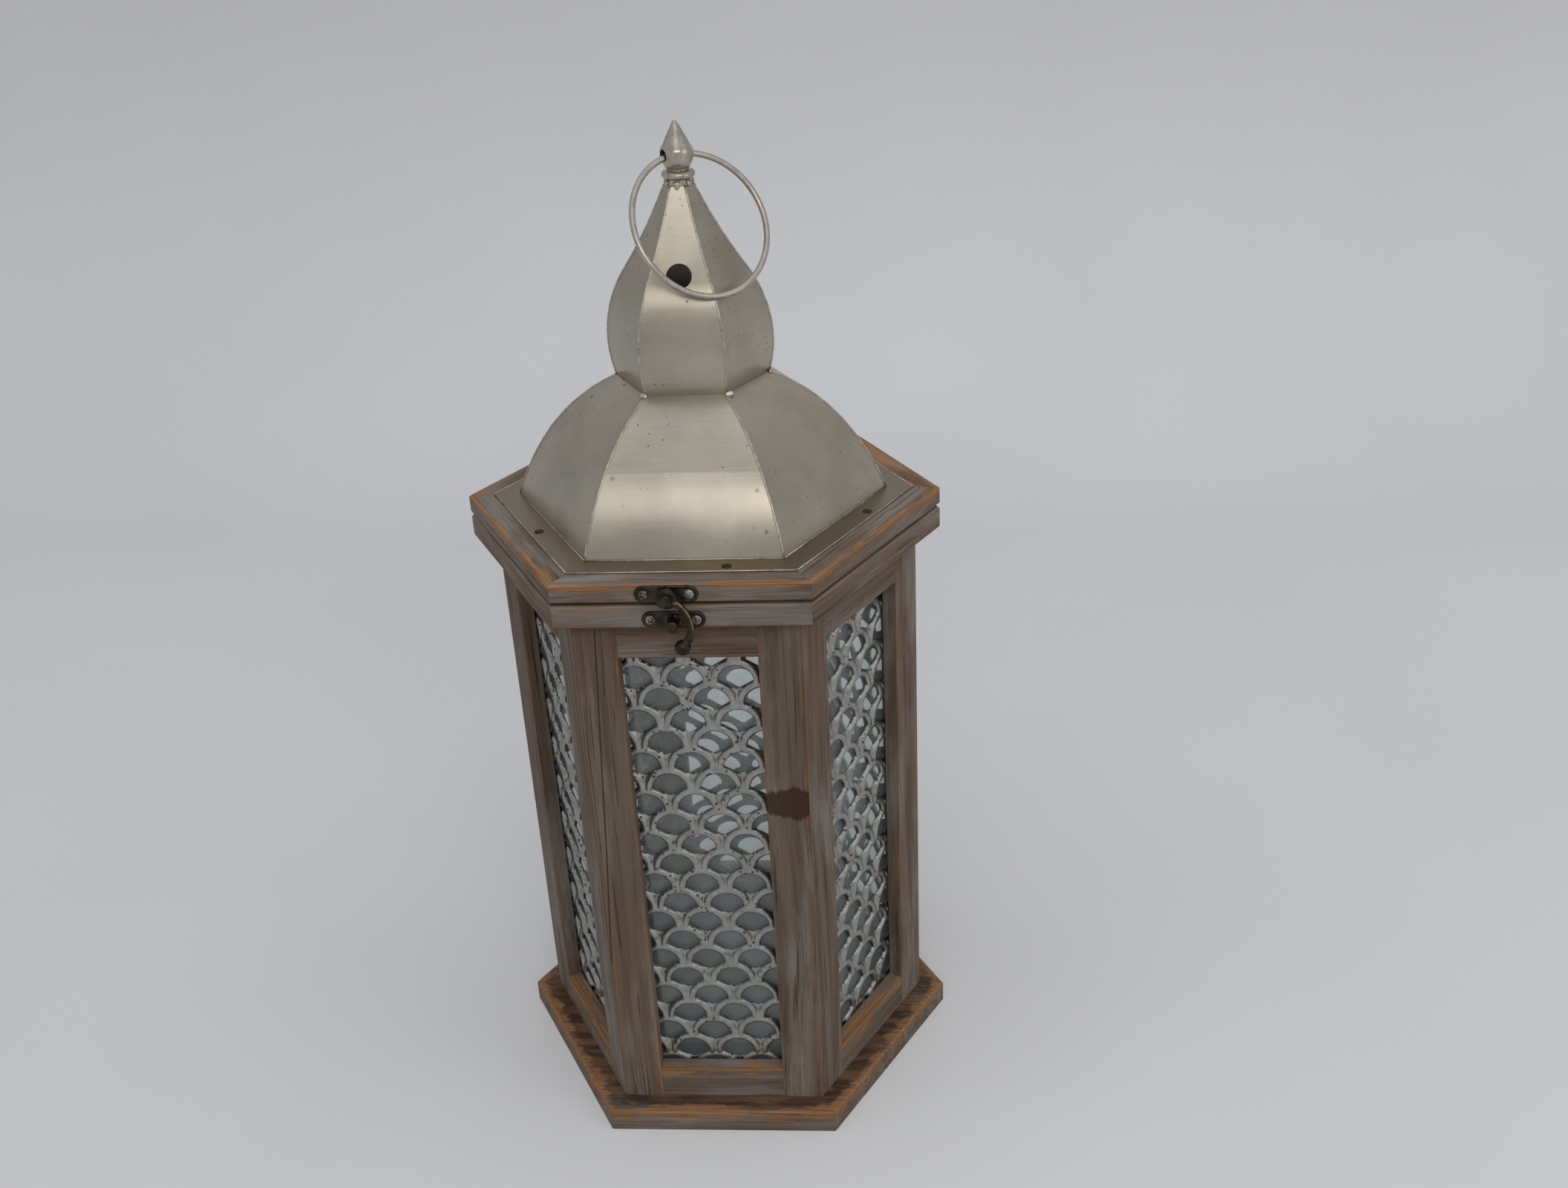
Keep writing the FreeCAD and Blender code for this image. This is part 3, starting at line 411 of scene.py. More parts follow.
BRONZE = cast_metal("latch_bronze", (0.026, 0.021, 0.017), (0.070, 0.055, 0.040),
                    (0.36, 0.26, 0.14), rough=0.32, specks=0.1, wear=0.6, relief=0.10)
STEEL = cast_metal("hinge_steel", (0.17, 0.15, 0.13), (0.32, 0.29, 0.25), (0.5, 0.46, 0.4),
                   rough=0.4, specks=0.5)
NAIL = cast_metal("nail_dark", (0.035, 0.026, 0.020), (0.10, 0.075, 0.052), (0.24, 0.18, 0.11),
                  rough=0.45, specks=0.5)
SOLDER = cast_metal("solder", (0.45, 0.42, 0.36), (0.70, 0.67, 0.60), (0.85, 0.82, 0.76),
                    rough=0.24, specks=0.2, wear=0.5, relief=0.05)
GLASS = pane("pane_glass")


def make_floor_finish():
    material, kit, shader, place = new_material("floor_dark_satin")
    cloud = kit.noise(place, 22.0, 5.0, 0.6)
    scratch = kit.noise(kit.scaled(place, (60, 900, 60)), detail=2.0)
    colour = kit.mix(kit.ramp(cloud, 0.35, 0.7), rgb(0.036, 0.044, 0.045), rgb(0.066, 0.078, 0.079))
    colour = kit.mix(kit.ramp(scratch, 0.62, 0.75, 0.0, 0.25), colour, rgb(0.16, 0.17, 0.17))
    kit.put(shader.inputs["Base Color"], colour)
    kit.put(shader.inputs["Metallic"], 0.35)
    kit.put(shader.inputs["Roughness"], kit.ramp(cloud, 0.3, 0.7, 0.34, 0.48))
    kit.put(shader.inputs["Normal"], kit.bump(cloud, 0.0006, 0.4))
    return material


# ---------------------------------------------------------------- wood and panes
# Places of wear, in metres, in the frame of the side that they are on.
FLAT, RIM_FLAT = 0.1073, 0.11968
STAIN = (0.0514, -FLAT, 0.2363, 0.0165, 0.0115)
SPLIT = (-0.0497, 0.3347, -0.0612, 0.1194)
BASE_TOP = (0.0151, (0.040, 0.018, 0.009), (0.165, 0.078, 0.032))
RAW_TOP = (0.3822, (0.150, 0.075, 0.036), (0.38, 0.205, 0.100))
RIGHT_EDGES = ((0.038, -FLAT, 0.0011, 0.5), (0.0615, -FLAT, 0.0012, 0.4))
LEFT_EDGES = tuple((-u, v, reach, amount) for u, v, reach, amount in RIGHT_EDGES)
HEAD_EDGES = ((-FLAT, 0.3315, 0.0015, 0.5),)
SILL_EDGES = ((-FLAT, 0.0372, 0.0040, 0.9),)
RIM_EDGES = ((-RIM_FLAT, 0.3563, 0.0020, 0.5), (-RIM_FLAT, 0.3696, 0.0012, 0.4))
LID_EDGES = ((-RIM_FLAT, 0.3822, 0.0030, 0.95), (-RIM_FLAT, 0.3714, 0.0012, 0.4))
FRONT, RAW_SIDE = 1, 3

dress(NODES["base_board"], wood("base_wood", 0.0, False, 3.0, 0.35, "hexagon", top=BASE_TOP))
dress(NODES["floor_sheet"], make_floor_finish())
for side in SIDES:
    turn = 60.0 * (side - 1)
    looks = {
        "stile_left": wood("stile_wood_left_%d" % side, turn, True, side * 1.7, 0.4, LEFT_EDGES,
                           split=SPLIT if side == FRONT else None),
        "stile_right": wood("stile_wood_right_%d" % side, turn, True, side * 2.9 + 0.6, 0.55,
                            RIGHT_EDGES, stain=STAIN if side == FRONT else None),
        "top_rail": wood("head_wood_%d" % side, turn, False, side + 9.0, 0.55, HEAD_EDGES),
        "bottom_rail": wood("sill_wood_%d" % side, turn, False, side + 17.0, 0.35, SILL_EDGES),
        "rim_board": wood("rim_wood_%d" % side, turn, False, side + 25.0, 0.7, RIM_EDGES),
        "lid_board": wood("lid_wood_%d" % side, turn, False, side + 33.0, 0.6, LID_EDGES,
                          top=RAW_TOP if side == RAW_SIDE else None),
        "glass": GLASS,
    }
    for name, look in looks.items():
        dress(NODES["%s_%d" % (name, side)], look)

# ---------------------------------------------------------------- pressed grilles
PITCH = 28.16
SHEET_BACK = -(123.9 * COS30 - 9.0 - 2.8)
HOLE_HALF, HOLE_HEAD, HOLE_DROP, CROWN_R = 10.1, 9.4, 5.9, 14.0
BAND_R, BAND_HALF, RELIEF = 11.9, 2.5, 2.2
SHEET_HALF, SHEET_LOW, SHEET_HIGH = 43.45, 31.7, 337.0


def hole_distance(x, z):
    """Signed distance to one hole, negative inside, for arrays of local x and z.

    The arch above is its head; the crowns of the two arches below cut in from its foot.
    """
    head = (np.hypot(x / HOLE_HALF, z / HOLE_HEAD) - 1.0) * HOLE_HEAD
    crown = CROWN_R - np.hypot(np.abs(x) - PITCH / 2, z + PITCH / 2)
    foot = (0.6 * np.abs(x) - z - HOLE_DROP) / math.hypot(0.6, 1.0)
    return np.maximum(np.maximum(head, crown), foot)


def band_height(x, z):
    """Height of one arch, a half-round band that stops level with its centre."""
    off = np.hypot(x, z) - BAND_R
    below = np.clip(-z, 0.0, None)
    inward = np.clip(1.0 - (np.hypot(off, below) / BAND_HALF) ** 2, 0.0, 1.0)
    return np.sqrt(inward)


def over_arches(x, z, reach, combine, start):
    """Combine reach(x, z) over every arch of the sheet."""
    best = np.full(x.shape, start)
    for row in range(-1, 23):
        z0 = 324.6 - PITCH / 2 * row
        shift = 9.8 if row % 2 == 0 else -4.28
        for column in range(-3, 4):
            best = combine(best, reach(x - shift - PITCH * column, z - z0))
    return best


def nearest_hole(x, z):
    return over_arches(x, z, hole_distance, np.minimum, 99.0)


def make_grille_mesh():
    """One pressed sheet as a fine grid whose vertices are drawn onto the holes' edges."""
    step = 0.62
    columns = np.linspace(-SHEET_HALF, SHEET_HALF, int(2 * SHEET_HALF / step) + 1)
    rows = np.linspace(SHEET_LOW, SHEET_HIGH, int((SHEET_HIGH - SHEET_LOW) / step) + 1)
    x, z = np.meshgrid(columns, rows)
    gap = nearest_hole(x, z)
    tiny = 0.05
    slope_x = (nearest_hole(x + tiny, z) - nearest_hole(x - tiny, z)) / (2 * tiny)
    slope_z = (nearest_hole(x, z + tiny) - nearest_hole(x, z - tiny)) / (2 * tiny)
    near = (np.abs(gap) < step * 0.72)
    near[0, :] = near[-1, :] = False
    near[:, 0] = near[:, -1] = False
    x = np.where(near, x - gap * slope_x, x)
    z = np.where(near, z - gap * slope_z, z)
    gap = np.where(near, 0.0, gap)
    height = 0.6 + RELIEF * over_arches(x, z, band_height, np.maximum, 0.0)
    edge = np.minimum(SHEET_HALF - np.abs(x), np.minimum(z - SHEET_LOW, SHEET_HIGH - z))
    height = np.where(edge < 4.0, np.minimum(height, 1.2), height)
    keep = gap >= 0.0
    whole = keep[:-1, :-1] & keep[1:, :-1] & keep[:-1, 1:] & keep[1:, 1:]
    index = np.arange(x.size).reshape(x.shape)
    quads = np.stack([index[:-1, :-1], index[:-1, 1:], index[1:, 1:], index[1:, :-1]], -1)[whole]
    count = x.size
    front = np.stack([x, SHEET_BACK - height, z], -1).reshape(-1, 3)
    back = np.stack([x, np.full_like(x, SHEET_BACK), z], -1).reshape(-1, 3)
    edges = {}
    for quad in quads:
        for first, last in zip(quad, np.roll(quad, -1)):
            key = (min(first, last), max(first, last))
            edges[key] = None if key in edges else (first, last)
    walls = [(pair[1], pair[0], pair[0] + count, pair[1] + count)
             for pair in edges.values() if pair is not None]
    faces = np.concatenate([quads, quads[:, ::-1] + count, np.array(walls)])
    used = np.unique(faces)
    renumber = np.full(2 * count, -1)
    renumber[used] = np.arange(used.size)
    return np.concatenate([front, back])[used], renumber[faces]


grille_points, grille_faces = make_grille_mesh()
first_grille = add_mesh("pressed_grille_1", grille_points, grille_faces, PEWTER, "body")
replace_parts(first_grille, "grille_1")
for side in SIDES[1:]:
    panel = bpy.data.objects.new("pressed_grille_%d" % side, first_grille.data)
    bpy.context.scene.collection.objects.link(panel)
    panel.matrix_world = Matrix.Rotation(math.radians(60.0 * (side - 1)), 4, "Z")
    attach(panel, "body")
    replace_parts(panel, "grille_%d" % side)

# ---------------------------------------------------------------- roof
dress(NODES["dome_shell"], ROOF)
dress(NODES["onion_shell"], ROOF)
LID_TOP, SHEET = 382.2, 0.9
NECK, ONION_TOP = 455.3, 561.0
FLANGE_R, DOME_FOOT_R, KNUCKLE_R, NECK_R = 123.1, 107.3, 84.0, 43.8
ONION_FOOT_R, SHOULDER_R, ONION_TOP_R = 43.3, 34.6, 8.3
KNUCKLE, SHOULDER = LID_TOP + 42.6, NECK + 59.2


def rib(profile, corner, lift):
    """A curve of (apothem, height) carried onto the hexagon's corner line."""
    angle = math.radians(60.0 * corner)
    points = []
    for flat, height in profile:
        radius = flat / COS30 - lift
        points.append((radius * math.cos(angle), radius * math.sin(angle), height))
    return points


dome_curve = (arc_points((DOME_FOOT_R * COS30, LID_TOP + SHEET), (KNUCKLE_R * COS30, KNUCKLE),
                         1.8, 14)
              + arc_points((KNUCKLE_R * COS30, KNUCKLE), (NECK_R * COS30, NECK), 2.8, 18)[1:])
onion_curve = (arc_points((ONION_FOOT_R * COS30, NECK), (SHOULDER_R * COS30, SHOULDER), 5.9, 20)
               + arc_points((SHOULDER_R * COS30, SHOULDER), (ONION_TOP_R * COS30, ONION_TOP),
                            -1.1, 14)[1:])
for label, curve, thick in (("dome", dome_curve, 0.55), ("onion", onion_curve, 0.5)):
    parts = []
    for corner in range(6):
        centres = rib(curve, corner, 0.15)
        angle = math.radians(60.0 * corner)
        outward = (math.cos(angle), math.sin(angle), 0.35)
        sizes = [(thick * 1.3, thick)] * len(centres)
        parts.append(sweep_parts(centres, [outward] * len(centres), sizes, 8))
    points, faces = merge(parts)
    add_mesh(label + "_rib_seams", points, faces, SEAM, "lid")

# The hem of the flange and the fold at the dome's foot.
parts = []
HEMS = ((FLANGE_R - 0.35, LID_TOP + 0.55, 0.5), (DOME_FOOT_R - 0.1, LID_TOP + SHEET + 0.15, 0.45))
for radius, height, thick in HEMS:
    for corner in range(6):
        ends = []
        for number in (corner, corner + 1):
            angle = math.radians(60.0 * number)
            ends.append(Vector((radius * math.cos(angle), radius * math.sin(angle), height)))
        centres = [tuple(ends[0].lerp(ends[1], t)) for t in (0.0, 0.25, 0.5, 0.75, 1.0)]
        parts.append(sweep_parts(centres, [(0, 0, 1)] * 5, [(thick, thick)] * 5, 8))
points, faces = merge(parts)
add_mesh("flange_hem", points, faces, SEAM, "lid")


def dome_head(radius, height):
    """Profile of a low round head, from its rim up to its middle."""
    steps = [math.pi / 2 * step / 5 for step in range(6)]
    return [(max(radius * math.cos(a), 0.02), height * math.sin(a)) for a in steps]


# One nail through the flange on each side, set off centre as they were driven.
parts = []
NAILS = ((1, 23.6, 101.0), (2, 18.4, 101.2), (3, -14.0, 101.0), (4, 8.0, 101.1), (5, -20.0, 101.0),
         (6, 4.2, 101.3))
for side, across, flat in NAILS:
    spot = Matrix.Rotation(math.radians(60.0 * (side - 1)), 4, "Z") @ Matrix.Translation(
        (across, -flat, LID_TOP + SHEET))
    points, faces = lathe_parts(dome_head(2.75, 0.85), 20)
    parts.append((moved(points, spot), faces))
points, faces = merge(parts)
add_mesh("flange_nails", points, faces, NAIL, "lid")

# Drops of solder where the onion stands on the dome.
parts = []
DROPS = ((-121.5, 44.2, 1.9), (-57.0, 44.3, 2.1), (-1.0, 44.0, 1.7), (62.0, 44.2, 1.8))
for angle, radius, size in DROPS:
    at = math.radians(angle)
    spot = Matrix.Translation((radius * math.cos(at), radius * math.sin(at), NECK - 0.3))
    spot = spot @ Matrix.Rotation(at, 4, "Z") @ Matrix.Diagonal((0.8, 1.5, 1.1, 1.0))
    profile = [(0.02, -size * 0.7)] + dome_head(size, size)
    points, faces = lathe_parts(profile, 16)
    parts.append((moved(points, spot), faces))
points, faces = merge(parts)
add_mesh("solder_drops", points, faces, SOLDER, "lid")

# ---------------------------------------------------------------- collar, finial and ring
COLLAR_TOP, RING_LEVEL = ONION_TOP + 7.3, 576.9
YAW = math.radians(37.4)
collar_profile = [(5.0, -3.0), (6.2, -1.0), (7.5, 0.0), (7.6, 1.4), (7.2, 2.6), (7.5, 3.6),
                  (8.5, 3.9), (9.0, 4.6), (9.05, 5.6), (8.7, 6.6), (7.9, 7.2), (6.0, 7.3)]
points, faces = lathe_parts([(r, h + ONION_TOP) for r, h in collar_profile], 60)
parts = [(points, faces)]

# Teeth of the crimped strip, as (angle, length), and their (place, half width, half thickness).
CLAWS = ((-92.0, 6.4), (-140.0, 4.2), (-38.0, 4.6), (28.0, 5.0), (95.0, 5.6), (160.0, 5.0))
CLAW_STEPS = ((0.0, 1.9, 0.5), (0.3, 1.8, 0.5), (0.6, 1.5, 0.5), (0.85, 1.1, 0.45), (1.0, 0.5, 0.3))
for angle, length in CLAWS:
    at = math.radians(angle)
    out = Vector((math.cos(at), math.sin(at), 0.0))
    centres, sizes = [], []
    for s, across, thick in CLAW_STEPS:
        level = Vector((0, 0, ONION_TOP + 2.5 - length * s * 0.62))
        centres.append(tuple(out * (7.5 + 0.55 * s + 0.3 * math.sin(s * 3.0)) + level))
        sizes.append((across, thick))
    parts.append(sweep_parts(centres, [tuple(out)] * len(centres), sizes, 10))
points, faces = merge(parts)
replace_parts(add_mesh("crimped_collar", points, faces, SEAM, "lid"), "finial_collar")


def make_finial():
    """The turned finial, its cross hole pierced by a boolean."""
    lower = arc_points((6.0, 1.2), (8.9, 8.6), 0.9, 12)
    upper = arc_points((8.9, 8.6), (8.0, 12.4), 0.35, 6)
    cone = [(8.0 + (1.2 - 8.0) * t, 12.4 + (25.4 - 12.4) * t) for t in np.linspace(0.12, 1.0, 10)]
    profile = [(5.8, 0.0), (6.0, 0.3)] + lower + upper[1:] + cone + [(0.7, 25.65), (0.05, 25.7)]
    points, faces = lathe_parts([(r, h + COLLAR_TOP) for r, h in profile], 64)
    thing = add_mesh("turned_finial", points, faces, TURNED, "lid")
    drill_points, drill_faces = lathe_parts([(3.25, -14.0), (3.25, 14.0)], 40)
    aim = (Matrix.Translation((0, 0, RING_LEVEL)) @ Matrix.Rotation(YAW, 4, "Z")
           @ Matrix.Rotation(math.pi / 2, 4, "Y"))
    drill = bpy.data.meshes.new("drill")
    drill.from_pydata([tuple(v * MM for v in p) for p in moved(drill_points, aim)], [], drill_faces)
    cutter = bpy.data.objects.new("drill", drill)
    bpy.context.scene.collection.objects.link(cutter)
    cut = thing.modifiers.new("pierce", "BOOLEAN")
    cut.operation, cut.object, cut.solver = "DIFFERENCE", cutter, "EXACT"
    bpy.context.view_layer.update()
    graph = bpy.context.evaluated_depsgraph_get()
    pierced = bpy.data.meshes.new_from_object(thing.evaluated_get(graph))
    thing.modifiers.clear()
    thing.data = pierced
    thing.data.set_sharp_from_angle(angle=math.radians(38))
    bpy.data.objects.remove(cutter)
    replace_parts(thing, "finial")


make_finial()

RING_R, WIRE_R, RING_DROP, RING_STEPS = 39.2, 1.65, 0.4, 160
lean = math.radians(30.4)
hole_axis = Vector((math.cos(YAW), math.sin(YAW), 0))
forward = Vector((math.sin(YAW), -math.cos(YAW), 0))
hang = forward * math.sin(lean) - Vector((0, 0, 1)) * math.cos(lean)
centre = Vector((0, 0, RING_LEVEL)) + hang * (RING_R + RING_DROP)
loop = []
for step in range(RING_STEPS):
    angle = 2 * math.pi * step / RING_STEPS
    loop.append(tuple(centre + (hang * math.cos(angle) + hole_axis * math.sin(angle)) * RING_R))
points, faces = sweep_parts(loop, [tuple(hole_axis.cross(hang))] * RING_STEPS,
                            [(WIRE_R, WIRE_R)] * RING_STEPS, 18, True)
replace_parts(add_mesh("wire_ring", points, faces, TURNED, "ring"), "ring_handle")

# ---------------------------------------------------------------- latch
FACE = -(138.2 * COS30)
UPPER_Z, LOWER_Z = 376.8, 361.75
UPPER_X, LOWER_X, PIVOT_X = -6.8, -3.9, -6.0
PLATE_HALF, PLATE_END, SCREW_REACH = 16.9, 5.0, 12.2


def out_from(x, z, depth=0.0):
    """Places a part modelled on +Z so that it stands out of the front board."""
    return Matrix.Translation((x, FACE - depth, z)) @ Matrix.Rotation(math.pi / 2, 4, "X")


def plate_parts(layers, half_length, radius, count=20):
    """A round-ended plate from rings of (inset, height), modelled on +Z."""
    points, faces = [], []
    straight = half_length - radius
    for inset, height in layers:
        ring = radius - inset
        for end in (1, -1):
            for step in range(count + 1):
                angle = math.pi * step / count - math.pi / 2
                points.append((end * (straight + ring * math.cos(angle)),
                               end * ring * math.sin(angle), height))
    around = 2 * (count + 1)
    for level in range(len(layers) - 1):
        a, b = level * around, (level + 1) * around
        for step in range(around):
            after = (step + 1) % around
            faces.append((a + step, a + after, b + after, b + step))
    faces.append(tuple(range((len(layers) - 1) * around, len(layers) * around)))
    faces.append(tuple(reversed(range(around))))
    return points, faces


def screw_parts(radius, height, turn):
    """A round screw head with a cross recess, as a fine polar grid."""
    rings, spokes = 12, 48
    points, faces = [], []
    for ring in range(rings + 1):
        r = radius * max(ring / rings, 0.02)
        for spoke in range(spokes):
            angle = 2 * math.pi * spoke / spokes
            x, y = r * math.cos(angle), r * math.sin(angle)
            top = height * math.sqrt(max(1.0 - (r / radius) ** 2 * 0.96, 0.0))
            u = x * math.cos(turn) + y * math.sin(turn)
            v = y * math.cos(turn) - x * math.sin(turn)
            arm = radius * 0.62
            wide = radius * 0.17
            if (abs(u) < wide and abs(v) < arm) or (abs(v) < wide and abs(u) < arm):
                top -= height * 0.75
            points.append((x, y, max(top, 0.0)))
    for ring in range(rings):
        for spoke in range(spokes):
            after = (spoke + 1) % spokes
            a, b = ring * spokes, (ring + 1) * spokes
            faces.append((a + spoke, b + spoke, b + after, a + after))
    faces.append(tuple(range(spokes)))
    return points, faces


def framed_plate(half_length, radius):
    """A plate with a soft rim and a shallow field inside it."""
    layers = ((0.0, 0.0), (0.0, 0.55), (0.25, 0.95), (0.7, 1.2), (1.2, 1.15), (1.6, 0.85),
              (2.0, 0.75), (2.6, 0.8))
    return plate_parts(layers, half_length, radius)


upper_parts = []
points, faces = framed_plate(PLATE_HALF, PLATE_END)
upper_parts.append((moved(points, out_from(UPPER_X, UPPER_Z)), faces))
boss = [(4.2, 0.6), (4.2, 2.2), (3.9, 3.6), (3.5, 4.6), (1.8, 4.7), (1.75, 8.3), (3.0, 8.35),
        (3.1, 8.9), (2.6, 9.4), (1.2, 9.6), (0.05, 9.6)]
points, faces = lathe_parts(boss, 40)
upper_parts.append((moved(points, out_from(PIVOT_X, UPPER_Z)), faces))
points, faces = merge(upper_parts)
upper_plate = add_mesh("bronze_plate_upper", points, faces, BRONZE, "lid")
upper_plate.data.set_sharp_from_angle(angle=math.radians(50))
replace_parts(upper_plate, "latch_plate_upper")

lower_parts = []
points, faces = framed_plate(PLATE_HALF, PLATE_END)
lower_parts.append((moved(points, out_from(LOWER_X, LOWER_Z)), faces))
knob = [(3.6, 0.6), (3.4, 1.5), (2.4, 2.3), (2.2, 4.0), (2.2, 7.8), (2.9, 8.25), (3.3, 8.7),
        (3.3, 9.5), (2.8, 10.05), (1.4, 10.2), (0.05, 10.2)]
points, faces = lathe_parts(knob, 40)
lower_parts.append((moved(points, out_from(LOWER_X, LOWER_Z)), faces))
points, faces = merge(lower_parts)
lower_plate = add_mesh("bronze_plate_lower", points, faces, BRONZE, "body")
lower_plate.data.set_sharp_from_angle(angle=math.radians(50))
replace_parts(lower_plate, "latch_plate_lower")

for label, body, spots in (
        ("upper", "lid", ((UPPER_X - SCREW_REACH, UPPER_Z - 0.3, 0.4),
                          (UPPER_X + SCREW_REACH - 0.2, UPPER_Z, 1.0))),
        ("lower", "body", ((LOWER_X - SCREW_REACH, LOWER_Z, 0.9),
                           (LOWER_X + SCREW_REACH, LOWER_Z - 0.2, 0.2)))):
    parts = []
    for x, z, turn in spots:
        points, faces = screw_parts(2.7, 1.1, turn)
        parts.append((moved(points, out_from(x, z, 0.8)), faces))
    points, faces = merge(parts)
    add_mesh("latch_screws_" + label, points, faces, SCREW, body, smooth=False)

BOW_R, START, END = 17.1, math.radians(72), math.radians(-46)
ARM_MIDDLE, ARM_SWELL, BALL_R, BOW_STEPS = 6.5, 2.35, 4.3, 25
bow_x = PIVOT_X - BOW_R * math.cos(START)
bow_z = UPPER_Z - BOW_R * math.sin(START)
centres, sizes = [], []
for step in range(BOW_STEPS):
    t = step / (BOW_STEPS - 1)
    angle = START + (END - START) * t
    centres.append((bow_x + BOW_R * math.cos(angle), FACE - ARM_MIDDLE,
                    bow_z + BOW_R * math.sin(angle)))
    sizes.append((ARM_SWELL - 0.75 * math.sin(math.pi * min(t * 1.15, 1.0)), 1.5))
bow = sweep_parts(centres, [(0, -1, 0)] * BOW_STEPS, sizes, 16)
eye_profile = [(1.9, 0.0), (5.0, 0.0), (5.5, 0.5), (5.6, 1.5), (5.5, 2.4), (5.0, 2.95), (2.9, 3.0),
               (1.9, 2.8)]
points, faces = lathe_parts(eye_profile, 40)
eye = (moved(points, out_from(PIVOT_X, UPPER_Z, 5.0)), faces)
ball_profile = [(max(BALL_R * math.sin(a), 0.03), -BALL_R * math.cos(a))
                for a in np.linspace(0, math.pi, 19)]
points, faces = lathe_parts(ball_profile, 32)
ball = (moved(points, out_from(centres[-1][0], centres[-1][2], ARM_MIDDLE)), faces)
points, faces = merge([bow, eye, ball])
swing_arm = add_mesh("bronze_arm", points, faces, BRONZE, "latch_arm")
swing_arm.data.set_sharp_from_angle(angle=math.radians(50))
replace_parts(swing_arm, "latch_arm")

# A brass strip along the arm's outer edge: rubbed bare metal, and a painted highlight on the arm's
# rim.
crest, crest_sizes = [], []
for step in range(BOW_STEPS):
    t = step / (BOW_STEPS - 1)
    angle = START + math.radians(16) * (1 - t) + (END - START) * 0.72 * t
    reach = BOW_R + ARM_SWELL - 0.75 * math.sin(math.pi * min(t * 0.83, 1.0)) - 0.75
    crest.append((bow_x + reach * math.cos(angle), FACE - 7.55, bow_z + reach * math.sin(angle)))
    crest_sizes.append((0.36 * math.sin(math.pi * (0.06 + 0.88 * t)) + 0.05, 0.36))
points, faces = sweep_parts(crest, [(0, -1, 0)] * BOW_STEPS, crest_sizes, 8)
add_mesh("arm_rubbed_highlight_crest", points, faces, RUBBED_HIGHLIGHT_BRASS, "latch_arm")

for name in ("hinge_leaf_fixed", "hinge_leaf_moving"):
    dress(NODES[name], STEEL)

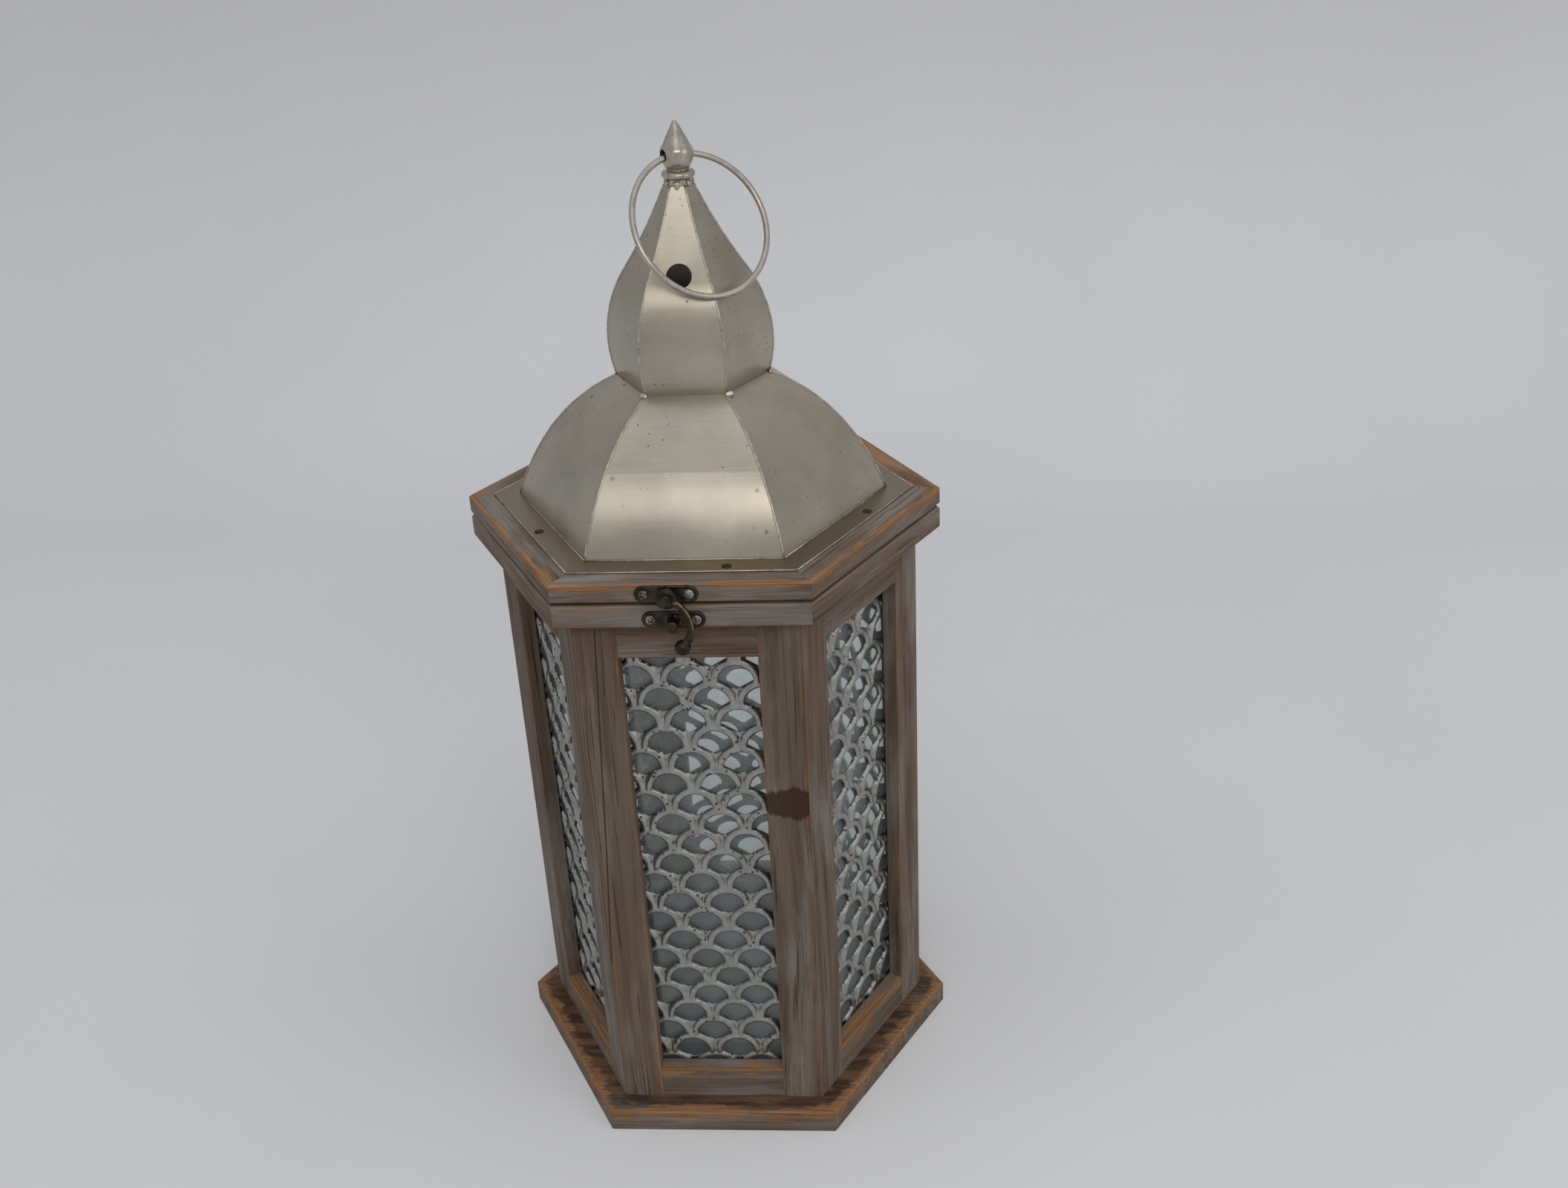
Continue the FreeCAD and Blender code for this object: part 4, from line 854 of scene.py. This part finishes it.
# ---------------------------------------------------------------- stage, light and camera
def make_stage():
    """Floor and backdrop in one sheet.

    Camera, glossy and transmission rays see it pale.  Light that bounces off it onto the
    object has the colours of a room: a darker floor and a grey wall.
    """
    material, kit, shader, place = new_material("studio_floor")
    tone = kit.ramp(kit.noise(place, 1.3, 3.0), 0.3, 0.7)
    path = kit.add("ShaderNodeLightPath")
    shown = kit.math("ADD", path.outputs["Is Camera Ray"], path.outputs["Is Glossy Ray"])
    seen = kit.math("ADD", shown, path.outputs["Is Transmission Ray"], True)
    height = kit.add("ShaderNodeSeparateXYZ", {0: place}).outputs[2]
    depth = kit.add("ShaderNodeSeparateXYZ", {0: place}).outputs[1]
    ground = kit.mix(kit.ramp(depth, -0.55, -0.10), rgb(0.085, 0.075, 0.062), rgb(0.34, 0.33, 0.31))
    room = kit.mix(kit.ramp(height, 0.05, 0.45), ground, rgb(0.62, 0.62, 0.63))
    pale = kit.mix(tone, rgb(0.70, 0.70, 0.71), rgb(0.74, 0.74, 0.75))
    kit.put(shader.inputs["Base Color"], kit.mix(seen, room, pale))
    kit.put(shader.inputs["Roughness"], 0.75)
    kit.put(shader.inputs["Specular IOR Level"], 0.0)
    kit.put(shader.inputs["Emission Color"], pale)
    kit.put(shader.inputs["Emission Strength"], kit.math("MULTIPLY", seen, 0.12))
    reach, back, radius, height = 4.0, 1.25, 0.5, 3.0
    profile = [(-reach, 0.0), (back - radius, 0.0)]
    for step in range(1, 17):
        angle = math.pi / 2 * step / 16
        profile.append((back - radius + radius * math.sin(angle),
                        radius - radius * math.cos(angle)))
    profile.append((back, height))
    points, faces = [], []
    for y, z in profile:
        points += [(-reach, y, z), (reach, y, z)]
    for index in range(len(profile) - 1):
        a = 2 * index
        faces.append((a, a + 1, a + 3, a + 2))
    mesh = bpy.data.meshes.new("studio_sweep")
    mesh.from_pydata(points, [], faces)
    mesh.shade_smooth()
    sweep = bpy.data.objects.new("studio_sweep", mesh)
    bpy.context.scene.collection.objects.link(sweep)
    dress(sweep, material)


make_stage()


def area_light(name, place, aim, width, height, power, colour):
    """A soft rectangular lamp at place that faces aim."""
    lamp = bpy.data.lights.new(name, "AREA")
    lamp.shape, lamp.size, lamp.size_y = "RECTANGLE", width, height
    lamp.energy, lamp.color = power, colour
    thing = bpy.data.objects.new(name, lamp)
    bpy.context.scene.collection.objects.link(thing)
    thing.location = place
    thing.rotation_mode = "QUATERNION"
    thing.rotation_quaternion = (Vector(aim) - Vector(place)).to_track_quat("-Z", "Y")


area_light("ceiling", (0.2, -0.2, 2.6), (0.0, 0.0, 0.2), 3.0, 2.6, 9.0, (0.97, 0.985, 1.0))
area_light("window", (0.45, -2.1, 1.85), (0.0, 0.0, 0.38), 1.7, 0.6, 9.0, (1.0, 0.98, 0.94))
area_light("right", (2.1, -1.0, 1.2), (0.0, 0.0, 0.35), 1.0, 1.2, 4.5, (1.0, 0.98, 0.95))

world = bpy.data.worlds.new("studio_world")
world.use_nodes = True
world.node_tree.nodes["Background"].inputs["Color"].default_value = rgb(0.80, 0.82, 0.85)
world.node_tree.nodes["Background"].inputs["Strength"].default_value = 0.62
bpy.context.scene.world = world
bpy.context.scene.view_settings.view_transform = "Standard"

# The camera fitted to the photo.
FOCAL_PIXELS, PHOTO_WIDTH = 2188.35, 2112.0
camera_data = bpy.data.cameras.new("camera")
camera_data.sensor_width = 36.0
camera_data.lens = camera_data.sensor_width * FOCAL_PIXELS / PHOTO_WIDTH
camera_data.clip_start, camera_data.clip_end = 0.05, 20.0
camera = bpy.data.objects.new("camera", camera_data)
bpy.context.scene.collection.objects.link(camera)
right = Vector((0.99732882, 0.05731897, -0.04527429))
down = Vector((-0.01386225, -0.46003774, -0.88779114))
ahead = Vector((-0.07171516, 0.88604729, -0.45801433))
pose = Matrix.Identity(4)
for row in range(3):
    pose[row][0], pose[row][1], pose[row][2] = right[row], -down[row], -ahead[row]
pose.translation = (0.11499, -0.86491, 0.76088)
camera.matrix_world = pose
bpy.context.scene.camera = camera
